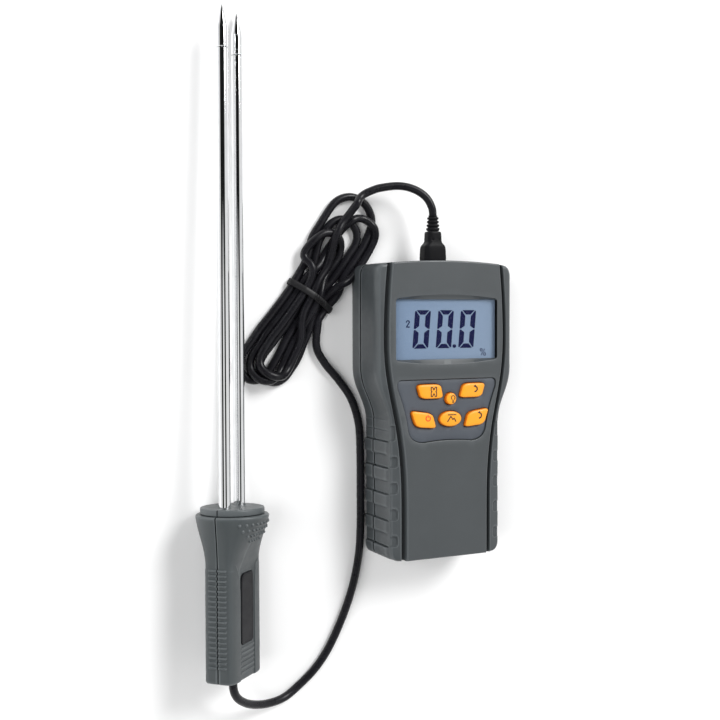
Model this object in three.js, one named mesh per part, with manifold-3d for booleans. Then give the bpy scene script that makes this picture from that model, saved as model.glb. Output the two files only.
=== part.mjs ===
// Grain moisture meter: hand-held meter, two-rod measuring probe and the cord between them.
// Millimetres, +Z up. The meter lies on its back on the XY plane with its long axis along Y.
// The origin is the centre of the meter's back face.
import * as THREE from "three";
import { mergeVertices } from "three/addons/utils/BufferGeometryUtils.js";
import Module from "manifold-3d";

const wasm = await Module();
wasm.setup();

// ---------------------------------------------------------------- driving dimensions
const gap = 0.3; // air between two neighbouring pieces

const meterLength = 165;
const headHalf = 43; // half width of the display end
const gripHalf = 34.6; // half width of the grip, without its bands
const seamZ = 12.8; // height of the joint between the two case halves
const wingZ = 33.6; // top of the case beside the raised plate
const grooveZ = 30.4; // floor of the groove round the plate
const roofZ = 28; // inside height of the front shell beside the plate
const plateZ = 35; // top of the raised plate
const wall = 2.4;
const taperLow = 74; // the waist runs between these two heights
const taperHigh = 106;
const arch = 1.6; // rise of the curved top edge
const endLine = meterLength - arch;

const bandPitch = 14.5; // grip bands
const bandCount = 5;
const bandRise = 0.9;
const bandHeight = 7.4;

const windowHalf = 31.9; // display window
const windowLow = 110.5;
const windowHigh = 143.5;

const buttonTopZ = 36.4;
const buttonFootZ = 29;
const panelTopZ = 34.2;
const panelThickness = 0.8;

const boardZ = 22;
const boardThickness = 1.6;

const batteryRadius = 5.1;
const batteryLength = 43.5;
const batteryPitch = 10.7;
const batteryCount = 4;
const batteryZ = 8;
const trayHalf = 22.4;
const trayLow = 12;
const trayHigh = 62;
const trayRoof = 13.4;
const doorHalf = 24;
const doorHigh = 70;
const doorThickness = 2.1;

const plugZ = 18; // height of the plug's axis above the back face
const plugHalfWidth = 7;
const plugHalfDepth = 4.75;

const cordRadius = 2.25;

const handleLength = 85.2; // up to the widest ring of the handle
const discHeight = 3.2;
const gripWidth = 34;
const gripDepth = 17.6;
const ringRadius = 19.2;
const discRadius = 16.8;
const rodRadius = 3.2;
const rodSpacing = 16.5;
const rodReach = 237.4; // polished tube from the handle's top to the tip piece
const tipBarrel = 11;
const tipCone = 11.6;
const probeRoll = THREE.MathUtils.degToRad(44);
const probeTilt = THREE.MathUtils.degToRad(-2.355);
const probeYaw = THREE.MathUtils.degToRad(-0.9);
const probeFoot = [-121.9, -53.2 - meterLength / 2, 22.95]; // end of the handle where the cord leaves

// ---------------------------------------------------------------- solid helpers
function toManifold(geometry) {
  const bare = geometry.clone();
  bare.deleteAttribute("normal");
  bare.deleteAttribute("uv");
  const merged = mergeVertices(bare, 1e-4);
  const mesh = new wasm.Mesh({
    numProp: 3,
    vertProperties: new Float32Array(merged.attributes.position.array),
    triVerts: new Uint32Array(merged.index.array),
  });
  return new wasm.Manifold(mesh);
}

function toGeometry(solid) {
  const mesh = solid.getMesh();
  const geometry = new THREE.BufferGeometry();
  geometry.setAttribute("position", new THREE.BufferAttribute(new Float32Array(mesh.vertProperties), 3));
  geometry.setIndex(new THREE.BufferAttribute(new Uint32Array(mesh.triVerts), 1));
  const loose = geometry.toNonIndexed();
  loose.computeVertexNormals();
  return loose;
}

// a solid standing on an outline in the XY plane
function slab(shape, low, high, steps = 4) {
  const geometry = new THREE.ExtrudeGeometry(shape, { depth: high - low, bevelEnabled: false, curveSegments: steps });
  geometry.translate(0, 0, low);
  return toManifold(geometry);
}

// the same with its top and bottom edges rounded inwards
function softSlab(shape, low, high, radius, steps = 4, rings = 2) {
  const geometry = new THREE.ExtrudeGeometry(shape, {
    depth: high - low - 2 * radius,
    bevelEnabled: true,
    bevelThickness: radius,
    bevelSize: radius,
    bevelOffset: -radius,
    bevelSegments: rings,
    curveSegments: steps,
  });
  geometry.translate(0, 0, low + radius);
  return toManifold(geometry);
}

function box(x0, x1, y0, y1, z0, z1) {
  const geometry = new THREE.BoxGeometry(x1 - x0, y1 - y0, z1 - z0);
  geometry.translate((x0 + x1) / 2, (y0 + y1) / 2, (z0 + z1) / 2);
  return toManifold(geometry);
}

// a round bar along Z
function post(x, y, radius, low, high, sides = 16) {
  const geometry = new THREE.CylinderGeometry(radius, radius, high - low, sides);
  geometry.rotateX(Math.PI / 2);
  geometry.translate(x, y, (low + high) / 2);
  return toManifold(geometry);
}

// a body turned about the Y axis from (radius, height) pairs that start and end on the axis
function turned(profile, sides = 20) {
  const points = profile.map(([radius, height]) => new THREE.Vector2(radius, height));
  return toManifold(new THREE.LatheGeometry(points, sides));
}

function roundRect(x0, x1, y0, y1, radius) {
  const shape = new THREE.Shape();
  shape.moveTo(x0 + radius, y0);
  shape.lineTo(x1 - radius, y0);
  shape.absarc(x1 - radius, y0 + radius, radius, -Math.PI / 2, 0, false);
  shape.lineTo(x1, y1 - radius);
  shape.absarc(x1 - radius, y1 - radius, radius, 0, Math.PI / 2, false);
  shape.lineTo(x0 + radius, y1);
  shape.absarc(x0 + radius, y1 - radius, radius, Math.PI / 2, Math.PI, false);
  shape.lineTo(x0, y0 + radius);
  shape.absarc(x0 + radius, y0 + radius, radius, Math.PI, 1.5 * Math.PI, false);
  return shape;
}

function union(solids) {
  return solids.reduce((sum, solid) => sum.add(solid));
}

// mirrored list of one thing on the left and on the right
function bothSides(make) {
  return [make(-1), make(1)];
}

// ---------------------------------------------------------------- materials
function plastic(name, color, roughness = 0.6) {
  return new THREE.MeshStandardMaterial({ name, color, roughness, metalness: 0 });
}

function metal(name, color, roughness = 0.3) {
  return new THREE.MeshStandardMaterial({ name, color, roughness, metalness: 1 });
}

const casePlastic = plastic("case_plastic", 0x5f6466);
const panelPlastic = plastic("panel_plastic", 0x6b6f78);
const orangeRubber = plastic("orange_rubber", 0xf7a11f, 0.5);
const greySilicone = plastic("silicone", 0xb9b6ad, 0.7);
const clearLens = plastic("clear_lens", 0xdfe8ee, 0.08);
const displayGlass = plastic("display_glass", 0x8ea4bf, 0.2);
const whitePlastic = plastic("white_plastic", 0xe8e8e2, 0.5);
const blackPlastic = plastic("black_plastic", 0x1b1b1d, 0.5);
const blackRubber = plastic("black_rubber", 0x202022, 0.65);
const labelFilm = plastic("label_film", 0x37373b, 0.45);
const boardGreen = plastic("board", 0x1f5a35, 0.5);
const batteryWrap = plastic("battery_wrap", 0x2f4f7d, 0.4);
const steel = metal("polished_steel", 0xd5d8da, 0.12);
const plated = metal("plated_steel", 0xb8bcc0, 0.35);
const brass = metal("brass", 0xc6a25a, 0.35);

// ---------------------------------------------------------------- assembly
const part = new THREE.Group();
part.name = "grain_moisture_meter";

const meter = new THREE.Group();
meter.position.set(0, -meterLength / 2, 0);
part.add(meter);

const probe = new THREE.Group();
probe.rotation.set(probeTilt, probeRoll, probeYaw, "ZXY");
probe.position.set(...probeFoot);
part.add(probe);

function place(group, name, solid, material) {
  const mesh = new THREE.Mesh(toGeometry(solid), material);
  mesh.name = name;
  group.add(mesh);
}

// ---------------------------------------------------------------- meter outlines
// waisted outline, wide at the display end and narrow at the grip, with an arched top edge
function waisted(head, grip, low, high, lowCorner, highCorner, rise) {
  const third = (taperHigh - taperLow) / 2.4;
  const shape = new THREE.Shape();
  shape.moveTo(-grip + lowCorner, low);
  shape.lineTo(grip - lowCorner, low);
  shape.quadraticCurveTo(grip, low, grip, low + lowCorner);
  shape.lineTo(grip, taperLow);
  shape.bezierCurveTo(grip, taperLow + third, head, taperHigh - third, head, taperHigh);
  shape.lineTo(head, high - highCorner);
  shape.quadraticCurveTo(head, high, head - highCorner, high);
  shape.quadraticCurveTo(0, high + 2 * rise, -head + highCorner, high);
  shape.quadraticCurveTo(-head, high, -head, high - highCorner);
  shape.lineTo(-head, taperHigh);
  shape.bezierCurveTo(-head, taperHigh - third, -grip, taperLow + third, -grip, taperLow);
  shape.lineTo(-grip, low + lowCorner);
  shape.quadraticCurveTo(-grip, low, -grip + lowCorner, low);
  return shape;
}

function caseOutline(inset) {
  const corner = 7 - inset / 2;
  return waisted(headHalf - inset, gripHalf - inset, inset, endLine - inset, corner - 1, corner, arch);
}

// the raised front plate bulges gently around the display
function plateOutline(grow) {
  const shape = new THREE.Shape();
  const low = -gap - grow;
  const high = endLine - 0.6;
  shape.moveTo(-25.6 - grow, low);
  shape.lineTo(25.6 + grow, low);
  shape.lineTo(25.6 + grow, 30);
  shape.bezierCurveTo(25.6 + grow, 82, 36.2 + grow, 88, 36.2 + grow, 122);
  shape.quadraticCurveTo(36.2 + grow, 142, 34 + grow, high + grow);
  shape.quadraticCurveTo(0, high + grow + 2 * arch + 0.8, -34 - grow, high + grow);
  shape.quadraticCurveTo(-36.2 - grow, 142, -36.2 - grow, 122);
  shape.bezierCurveTo(-36.2 - grow, 88, -25.6 - grow, 82, -25.6 - grow, 30);
  shape.lineTo(-25.6 - grow, low);
  return shape;
}

function keypadOutline(inset) {
  const shape = new THREE.Shape();
  shape.moveTo(-15 + inset, 64.6 + inset);
  shape.quadraticCurveTo(0, 66.4 + inset, 15 - inset, 64.6 + inset);
  shape.quadraticCurveTo(24 - inset, 64.8 + inset, 25 - inset, 73);
  shape.quadraticCurveTo(26.2 - inset, 82, 31 - inset, 94);
  shape.quadraticCurveTo(32.6 - inset, 99.6 - inset, 28.5 - inset, 99.6 - inset);
  shape.lineTo(-28.5 + inset, 99.6 - inset);
  shape.quadraticCurveTo(-32.6 + inset, 99.6 - inset, -31 + inset, 94);
  shape.quadraticCurveTo(-26.2 + inset, 82, -25 + inset, 73);
  shape.quadraticCurveTo(-24 + inset, 64.8 + inset, -15 + inset, 64.6 + inset);
  return shape;
}

// ---------------------------------------------------------------- buttons
// a four-cornered cushion just inside the given corners, rounded by quadratic bends
const keyInset = 0.5;

function cushion(corners, extra) {
  const grow = extra - keyInset;
  const middle = corners.reduce((sum, [x, y]) => [sum[0] + x / 4, sum[1] + y / 4], [0, 0]);
  const spread = corners.map(([x, y]) => {
    const reach = Math.hypot(x - middle[0], y - middle[1]);
    const scale = (reach + grow * 1.35) / reach;
    return [middle[0] + (x - middle[0]) * scale, middle[1] + (y - middle[1]) * scale];
  });
  const bend = 0.3;
  const shape = new THREE.Shape();
  spread.forEach((corner, index) => {
    const before = spread[(index + 3) % 4];
    const after = spread[(index + 1) % 4];
    const start = corner.map((value, axis) => value + (before[axis] - value) * bend);
    const end = corner.map((value, axis) => value + (after[axis] - value) * bend);
    if (index === 0) {
      shape.moveTo(...start);
    } else {
      shape.lineTo(...start);
    }
    shape.quadraticCurveTo(...corner, ...end);
  });
  shape.closePath();
  return shape;
}

function oval(x, y, halfWidth, halfHeight, grow) {
  const shape = new THREE.Shape();
  shape.absellipse(x, y, halfWidth + grow, halfHeight + grow, 0, 2 * Math.PI, false);
  return shape;
}

const buttons = [
  {
    name: "button_hold",
    centre: [-11.5, 93],
    outline: (grow) => cushion([[-20.4, 97.4], [-4.4, 97.4], [-2.6, 88.4], [-17.6, 88.4]], grow),
  },
  {
    name: "button_up",
    centre: [15.4, 93],
    outline: (grow) => cushion([[9.2, 97.4], [24.6, 97.4], [21.8, 88.4], [6.4, 88.4]], grow),
  },
  { name: "button_light", centre: [1.7, 88.6], outline: (grow) => oval(1.7, 88.6, 3.3, 3.3, grow) },
  {
    name: "button_power",
    centre: [-15.4, 77.6],
    outline: (grow) => cushion([[-24.2, 83.4], [-9.6, 81.2], [-6.8, 71.8], [-20.6, 73]], grow),
  },
  { name: "button_peak", centre: [1.4, 77.4], outline: (grow) => oval(1.4, 77.4, 6.9, 4.3, grow) },
  {
    name: "button_down",
    centre: [18, 77.6],
    outline: (grow) => cushion([[12.4, 81.2], [27, 83.4], [23.4, 73], [9.6, 71.8]], grow),
  },
];

for (const button of buttons) {
  const body = softSlab(button.outline(0), buttonFootZ, buttonTopZ, 0.9, 3, 2);
  place(meter, button.name, body, orangeRubber);
}

// ---------------------------------------------------------------- case halves
function gripBand(side, line, low, high) {
  const shape = new THREE.Shape();
  const inner = gripHalf - 1;
  shape.moveTo(inner, line - bandHeight);
  shape.lineTo(gripHalf, line - bandHeight);
  shape.lineTo(gripHalf + bandRise, line - bandHeight + 2);
  shape.lineTo(gripHalf + bandRise, line);
  shape.lineTo(inner, line);
  shape.closePath();
  const band = slab(shape, low, high);
  return side > 0 ? band : band.mirror([1, 0, 0]);
}

function gripBands(low, high) {
  const lines = Array.from({ length: bandCount }, (_, index) => 7.6 + index * bandPitch);
  return lines.flatMap((line) => bothSides((side) => gripBand(side, line, low, high)));
}

const screwSpots = [[-35, 151], [35, 151], [-28, 16], [28, 16]];

function makeFrontCase() {
  const shell = softSlab(caseOutline(0), seamZ - 12, wingZ, 3, 5, 2);
  const top = slab(plateOutline(0), roofZ, plateZ, 5).intersect(slab(caseOutline(0), 0, plateZ + 1, 5));
  const groove = slab(plateOutline(2.8), grooveZ, wingZ + 1, 5).subtract(slab(plateOutline(0), 0, plateZ + 5, 5));
  const solid = shell.subtract(groove).add(top);
  const ribbed = union([solid, ...gripBands(seamZ + gap / 2, roofZ)]);
  const cavity = slab(caseOutline(wall), 0, roofZ - 0.2, 5);
  const pocket = slab(plateOutline(-2.2), 0, plateZ - 3.4, 5).intersect(slab(caseOutline(wall), 0, plateZ, 5));
  const bosses = screwSpots.map(([x, y]) => post(x, y, 3.4, seamZ + gap, roofZ, 14));
  const pilots = screwSpots.map(([x, y]) => post(x, y, 1.7, 0, seamZ + 10, 10));
  const lensSeat = box(-32.9, 32.9, 107, 147.6, plateZ - 5, plateZ - 1.6);
  const opening = slab(roundRect(-windowHalf, windowHalf, windowLow, windowHigh, 2), 0, plateZ + 2, 3);
  const recess = slab(keypadOutline(0), panelTopZ - panelThickness - gap, plateZ + 1, 4);
  const buttonHoles = buttons.map((button) => slab(button.outline(gap), 0, plateZ + 2, 3));
  const plugHole = box(-plugHalfWidth - 1.5, plugHalfWidth + 1.5, endLine - 8, endLine + 5, plugZ - 6, plugZ + 6);
  const below = box(-60, 60, -10, 180, -5, seamZ + gap / 2);
  return union([ribbed.subtract(cavity.add(pocket)), ...bosses])
    .subtract(union([lensSeat, opening, recess, plugHole, below, ...buttonHoles, ...pilots]));
}

function makeRearCase() {
  const shell = softSlab(caseOutline(0), 0, seamZ + 12, 3, 5, 2);
  const cavity = slab(caseOutline(wall), wall, plateZ, 5);
  const bosses = screwSpots.map(([x, y]) => post(x, y, 3.9, 1, seamZ - gap, 14));
  const heads = screwSpots.map(([x, y]) => post(x, y, 3.1, -1, 6, 14));
  const shanks = screwSpots.map(([x, y]) => post(x, y, 1.7, -1, seamZ + 1, 10));
  const boardPosts = [[-22, 92], [22, 92], [-22, 152], [22, 152]];
  const above = box(-60, 60, -10, 180, seamZ - gap / 2, plateZ + 5);
  const trayOuter = box(-trayHalf - 1.5, trayHalf + 1.5, trayLow - 1.5, trayHigh + 1.5, 1, trayRoof + 1.4);
  const trayInner = box(-trayHalf, trayHalf, trayLow, trayHigh, -1, trayRoof);
  const doorWay = box(-doorHalf - gap, doorHalf + gap, -2, doorHigh + gap, -1, doorThickness + 0.2);
  const rails = box(-doorHalf - 1.5, doorHalf + 1.5, -2, doorHigh + gap, 0.8, doorThickness + 0.2);
  const plugHole = box(-plugHalfWidth - 1.5, plugHalfWidth + 1.5, endLine - 8, endLine + 5, plugZ - 6, plugZ + 6);
  const body = union([shell, ...gripBands(3.2, seamZ - gap / 2)]).subtract(cavity.add(above));
  const posts = boardPosts.map(([x, y]) => post(x, y, 2, 1, boardZ - gap, 10));
  return union([body, trayOuter, ...bosses, ...posts])
    .subtract(union([trayInner, doorWay, rails, plugHole, ...heads, ...shanks]));
}

function makeBatteryDoor() {
  const skin = softSlab(caseOutline(0), 0, seamZ + 12, 3, 5, 2);
  const leaf = box(-doorHalf, doorHalf, -2, doorHigh, -1, doorThickness);
  const tongues = box(-doorHalf - 1.2, doorHalf + 1.2, 6, doorHigh, 1.1, doorThickness - 0.2);
  const grips = Array.from({ length: 4 }, (_, index) => box(-9, 9, 54 + index * 3, 55.2 + index * 3, -1, 0.5));
  return leaf.add(tongues).intersect(skin).subtract(union(grips));
}

place(meter, "front_case", makeFrontCase(), casePlastic);
place(meter, "rear_case", makeRearCase(), casePlastic);
place(meter, "battery_door", makeBatteryDoor(), casePlastic);

// ---------------------------------------------------------------- keypad and display
function makeKeypadPanel() {
  const sheet = slab(keypadOutline(gap), panelTopZ - panelThickness, panelTopZ, 4);
  return sheet.subtract(union(buttons.map((button) => slab(button.outline(gap), 0, plateZ + 2, 3))));
}

function makeButtonMat() {
  const sheet = box(-22.5, 22.5, 70.5, 98.5, boardZ + boardThickness + gap, 26);
  return union([sheet, ...buttons.map(({ centre }) => post(...centre, 2.6, 25, buttonFootZ - 1.5, 10))]);
}

function makeDisplayHolder() {
  const outer = box(-31.8, 31.8, 106.5, 147.5, boardZ + boardThickness + gap, 26.9);
  return outer.subtract(box(-28.8, 28.8, 109.5, 144.5, 0, plateZ));
}

place(meter, "keypad_panel", makeKeypadPanel(), panelPlastic);
place(meter, "button_mat", makeButtonMat(), greySilicone);
place(meter, "display_holder", makeDisplayHolder(), whitePlastic);
place(meter, "display_backlight", box(-31.8, 31.8, 107.5, 147, 27.2, 29.8), whitePlastic);
place(meter, "display_glass", box(-32.5, 32.5, 108, 146.5, 30.1, 31.9), displayGlass);
place(meter, "display_window", slab(roundRect(-32.5, 32.5, 108.6, 145.4, 1), 32.2, 33.1, 2), clearLens);

// ---------------------------------------------------------------- electronics
function makeMainBoard() {
  const shape = new THREE.Shape();
  shape.moveTo(-23.5, 8);
  shape.lineTo(23.5, 8);
  shape.lineTo(23.5, 80);
  shape.lineTo(30.8, 100);
  shape.lineTo(30.8, 150);
  shape.lineTo(26, 156);
  shape.lineTo(-26, 156);
  shape.lineTo(-30.8, 150);
  shape.lineTo(-30.8, 100);
  shape.lineTo(-23.5, 80);
  shape.closePath();
  return slab(shape, boardZ, boardZ + boardThickness);
}

place(meter, "main_board", makeMainBoard(), boardGreen);
place(meter, "controller_chip", box(-7, 7, 112, 126, boardZ - gap - 1.8, boardZ - gap), blackPlastic);
place(meter, "display_connector", box(-24, 24, 100.5, 104, boardZ + boardThickness + gap, 27.5), whitePlastic);

// the socket fills the opening in the top wall and takes the plug's square nose
function makeSocket() {
  const outer = box(-plugHalfWidth - 1.2, plugHalfWidth + 1.2, 149, endLine + 0.6, plugZ - 5.7, plugZ + 3.7);
  const mouth = box(-plugHalfWidth + 0.9, plugHalfWidth - 0.9, 153, endLine + 5, plugZ - 2.9, plugZ + 2.4);
  return outer.subtract(mouth);
}

place(meter, "cord_socket", makeSocket(), blackPlastic);

// ---------------------------------------------------------------- batteries
function makeBattery(x, plusUp) {
  const half = batteryLength / 2;
  const nub = 1;
  const profile = [
    [0, -half], [batteryRadius, -half], [batteryRadius, half - nub],
    [1.9, half - nub], [1.9, half], [0, half],
  ];
  const cell = turned(profile, 18);
  const facing = plusUp ? cell : cell.rotate([180, 0, 0]);
  return facing.translate([x, (trayLow + trayHigh) / 2 + 0.6, batteryZ]);
}

function batteryX(index) {
  return (index - (batteryCount - 1) / 2) * batteryPitch;
}

for (let index = 0; index < batteryCount; index += 1) {
  place(meter, `battery_${index + 1}`, makeBattery(batteryX(index), index % 2 === 0), batteryWrap);
}

function makeContacts(low, high, bumpLow, bumpHigh) {
  const sheet = box(-trayHalf + gap, trayHalf - gap, low, high, 3.6, trayRoof - gap);
  const bumps = Array.from({ length: batteryCount }, (_, index) =>
    box(batteryX(index) - 2, batteryX(index) + 2, bumpLow, bumpHigh, batteryZ - 2, batteryZ + 2));
  return union([sheet, ...bumps]);
}

const lowContactY = trayLow + gap;
const highContactY = trayHigh - gap;
place(meter, "battery_contacts_low", makeContacts(lowContactY, lowContactY + 0.5, lowContactY, 15.5), plated);
place(meter, "battery_contacts_high", makeContacts(highContactY - 0.5, highContactY, 59.7, highContactY), plated);

// ---------------------------------------------------------------- case screws
function makeCaseScrew(x, y) {
  const head = post(x, y, 2.8, 3.9, 5.7, 14);
  const slots = [box(x - 1.8, x + 1.8, y - 0.35, y + 0.35, 3, 4.8), box(x - 0.35, x + 0.35, y - 1.8, y + 1.8, 3, 4.8)];
  return head.subtract(union(slots)).add(post(x, y, 1.4, 5.5, 20, 10));
}

screwSpots.forEach(([x, y], index) => {
  place(meter, `case_screw_${index + 1}`, makeCaseScrew(x, y), plated);
});

// ---------------------------------------------------------------- plug
// the overmoulded plug body, its shoulders and the square nose that enters the socket
function makePlugBody() {
  const shape = new THREE.Shape();
  const start = endLine + 1.9;
  shape.moveTo(-plugHalfWidth, start);
  shape.lineTo(plugHalfWidth, start);
  shape.lineTo(plugHalfWidth - 0.5, start + 8.4);
  shape.lineTo(4.4, start + 10.8);
  shape.lineTo(4.1, start + 16.6);
  shape.lineTo(-4.1, start + 16.6);
  shape.lineTo(-4.4, start + 10.8);
  shape.lineTo(-plugHalfWidth + 0.5, start + 8.4);
  shape.closePath();
  return softSlab(shape, plugZ - plugHalfDepth, plugZ + plugHalfDepth, 0.8, 2, 2);
}

function makePlugNose() {
  const sleeve = box(-5.8, 5.8, 157.6, endLine + 1.6, plugZ - 2.6, plugZ + 2.1);
  return sleeve;
}

// a ribbed bend protector, its rings alternating thick and thin
function makeStrainRelief() {
  const start = endLine + 18.8;
  const rings = 4;
  const pitch = 2;
  const profile = [[0, start], [3.5, start]];
  for (let ring = 0; ring < rings; ring += 1) {
    const base = start + 0.6 + ring * pitch;
    const radius = 3.7 - ring * 0.16;
    profile.push([radius, base], [radius, base + 1.1], [radius - 0.8, base + 1.3], [radius - 0.8, base + 1.8]);
  }
  const end = start + 0.6 + rings * pitch;
  profile.push([2.8, end], [0, end]);
  return turned(profile, 16).translate([0, 0, plugZ]);
}

place(meter, "plug_body", makePlugBody(), blackRubber);
place(meter, "plug_nose", makePlugNose(), plated);
place(meter, "plug_strain_relief", makeStrainRelief(), blackRubber);

// ---------------------------------------------------------------- probe handle
// cross-sections of the handle between the grip (share 0) and the widest ring (share 1)
function handleRing(halfWidth, halfDepth, squareness, height, points) {
  const ring = [];
  for (let index = 0; index < points; index += 1) {
    const angle = (index / points) * 2 * Math.PI + Math.PI / points;
    const power = 2 / squareness;
    const across = Math.sign(Math.cos(angle)) * Math.abs(Math.cos(angle)) ** power;
    const deep = Math.sign(Math.sin(angle)) * Math.abs(Math.sin(angle)) ** power;
    ring.push([halfWidth * across, height, halfDepth * deep]);
  }
  return ring;
}

function loft(rings) {
  const count = rings[0].length;
  const positions = rings.flat(2);
  const index = [];
  rings.slice(1).forEach((_, row) => {
    for (let k = 0; k < count; k += 1) {
      const a = row * count + k;
      const b = row * count + ((k + 1) % count);
      index.push(a, a + count, b, b, a + count, b + count);
    }
  });
  for (let k = 1; k < count - 1; k += 1) {
    const last = (rings.length - 1) * count;
    index.push(0, k, k + 1);
    index.push(last, last + k + 1, last + k);
  }
  const geometry = new THREE.BufferGeometry();
  geometry.setAttribute("position", new THREE.Float32BufferAttribute(positions, 3));
  geometry.setIndex(index);
  return toManifold(geometry);
}

const flareStart = 58;
const handlePoints = 36;

function handleHull(inset) {
  const rings = [];
  const stations = [0, 1.6, 30, flareStart, 64, 70, 75, 80, 83, handleLength - 1, handleLength];
  for (const height of stations) {
    const share = THREE.MathUtils.clamp((height - flareStart) / (handleLength - 1 - flareStart), 0, 1);
    const swell = share * share * (1.7 - 0.7 * share);
    const rim = height === 0 || height === handleLength ? 1.1 : 0;
    const halfWidth = THREE.MathUtils.lerp(gripWidth / 2, ringRadius, swell) - rim - inset;
    const halfDepth = THREE.MathUtils.lerp(gripDepth / 2, ringRadius, swell) - rim - inset;
    const squareness = THREE.MathUtils.lerp(6.5, 2, share ** 0.6);
    rings.push(handleRing(halfWidth, halfDepth, squareness, height, handlePoints));
  }
  return loft(rings);
}

const handleBody = handleHull(0);
const handleHollow = handleHull(2.2).intersect(box(-30, 30, 4, handleLength - 3, -30, 30));
const handleScrewSpots = [[0, 16], [0, 64.6]];
const cordBore = turned([[0, -2], [cordRadius + 2.2, -2], [cordRadius + 2.2, 6], [0, 6]], 16);

function gripRibs(side) {
  const ribs = [];
  const ribCount = 20;
  const ribPitch = 2.6;
  for (let index = 0; index < ribCount; index += 1) {
    const y = 8 + index * ribPitch;
    const outer = gripWidth / 2 + 0.35;
    const inner = gripWidth / 2 - 1.2;
    ribs.push(side < 0 ? box(-outer, -inner, y, y + 1.1, -5, 5) : box(inner, outer, y, y + 1.1, -5, 5));
  }
  return ribs;
}

const handleSolid = union([handleBody, ...gripRibs(-1), ...gripRibs(1)]);

function makeHandleFront() {
  const frame = slab(roundRect(-12.8, 12.8, -4, 62, 9), gripDepth / 2 - 0.5, 30, 5);
  const seat = slab(roundRect(-7, 7, 18.2, 55.2, 2.4), gripDepth / 2 - 1.2, 30, 3);
  const bosses = handleScrewSpots.map(([x, y]) => post(x, y, 2.8, gap, 7.4, 12));
  const pilots = handleScrewSpots.map(([x, y]) => post(x, y, 1.2, -1, 5, 8));
  const lowRibs = Array.from({ length: 6 }, (_, index) => box(-10.5, 10.5, 3.4 + index * 2.5, 4.6 + index * 2.5, 6, 8.6));
  const shell = handleSolid.subtract(handleHollow).subtract(frame);
  return union([shell, ...lowRibs, ...bosses])
    .subtract(union([seat, cordBore, ...pilots, box(-40, 40, -9, 120, -40, gap / 2)]));
}

function makeHandleRear() {
  const bosses = handleScrewSpots.map(([x, y]) => post(x, y, 3.6, -8.2, -gap, 12));
  const heads = handleScrewSpots.map(([x, y]) => post(x, y, 2.5, -30, -4.5, 12));
  const shanks = handleScrewSpots.map(([x, y]) => post(x, y, 1.5, -10, 1, 8));
  return union([handleSolid.subtract(handleHollow), ...bosses])
    .subtract(union([cordBore, ...heads, ...shanks, box(-40, 40, -9, 120, -gap / 2, 40)]));
}

function makeHandleCap() {
  const low = handleLength + gap;
  const cap = turned([
    [0, low], [discRadius - 0.3, low], [discRadius, low + 0.3],
    [discRadius, low + discHeight - 0.6], [discRadius - 0.6, low + discHeight], [0, low + discHeight],
  ], 40);
  return cap.subtract(union(bothSides((side) => rodBore(side, low - 2, low + 6))));
}

function rodBore(side, low, high) {
  const radius = rodRadius + gap / 2;
  return turned([[0, low], [radius, low], [radius, high], [0, high]], 20).translate([(side * rodSpacing) / 2, 0, 0]);
}

const handleTopHoles = union(bothSides((side) => rodBore(side, handleLength - 5, handleLength + 5)));
place(probe, "handle_front", makeHandleFront().subtract(handleTopHoles), casePlastic);
place(probe, "handle_rear", makeHandleRear().subtract(handleTopHoles), casePlastic);
place(probe, "handle_cap", makeHandleCap(), casePlastic);
const labelLow = gripDepth / 2 - 0.9;
place(probe, "handle_label", slab(roundRect(-6.7, 6.7, 18.5, 54.9, 2.2), labelLow, labelLow + 0.6, 3), labelFilm);

function makeHandleScrew(x, y) {
  const head = post(x, y, 2.2, -6.2, -4.8, 12);
  const slots = [
    box(x - 1.5, x + 1.5, y - 0.3, y + 0.3, -7, -5.5),
    box(x - 0.3, x + 0.3, y - 1.5, y + 1.5, -7, -5.5),
  ];
  return head.subtract(union(slots)).add(post(x, y, 0.9, -5, 4, 8));
}

handleScrewSpots.forEach(([x, y], index) => {
  place(probe, `handle_screw_${index + 1}`, makeHandleScrew(x, y), plated);
});

// ---------------------------------------------------------------- rods and probe inner parts
const rodFoot = 68;
const rodTop = handleLength + gap + discHeight + rodReach;

function makeRodTube(side) {
  const profile = [[0, rodFoot], [rodRadius, rodFoot], [rodRadius, rodTop], [0, rodTop]];
  return turned(profile, 20).translate([(side * rodSpacing) / 2, 0, 0]);
}

function makeRodTip(side) {
  const low = rodTop + gap;
  const shoulder = low + tipBarrel;
  const profile = [
    [0, low], [rodRadius - 0.2, low], [rodRadius, low + 0.3], [rodRadius, shoulder],
    [rodRadius * 0.5, shoulder + tipCone * 0.55], [0.25, shoulder + tipCone], [0, shoulder + tipCone],
  ];
  return turned(profile, 20).translate([(side * rodSpacing) / 2, 0, 0]);
}

place(probe, "rod_near", makeRodTube(-1), steel);
place(probe, "rod_far", makeRodTube(1), steel);
place(probe, "tip_near", makeRodTip(-1), steel);
place(probe, "tip_far", makeRodTip(1), steel);

function makeRodBlock() {
  const block = box(-12.5, 12.5, 68.8, 81.4, -5.5, 5.5);
  return block.subtract(union(bothSides((side) => rodBore(side, 60, 90))));
}

place(probe, "rod_block", makeRodBlock(), whitePlastic);
place(probe, "probe_board", box(-9, 9, 24, 56, -3.2, -1.6), boardGreen);
place(probe, "terminal_near", box(-10.2, -6.4, 60.5, 67.4, -1.2, 1.2), brass);
place(probe, "terminal_far", box(6.4, 10.2, 60.5, 67.4, -1.2, 1.2), brass);

function makeCordGrommet() {
  const outer = cordRadius + 1.9;
  const profile = [
    [0, -1.2], [outer - 0.9, -1.2], [outer, -0.2], [outer, 5.7], [0, 5.7],
  ];
  return turned(profile, 16);
}

place(probe, "cord_grommet", makeCordGrommet(), blackRubber);

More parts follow.
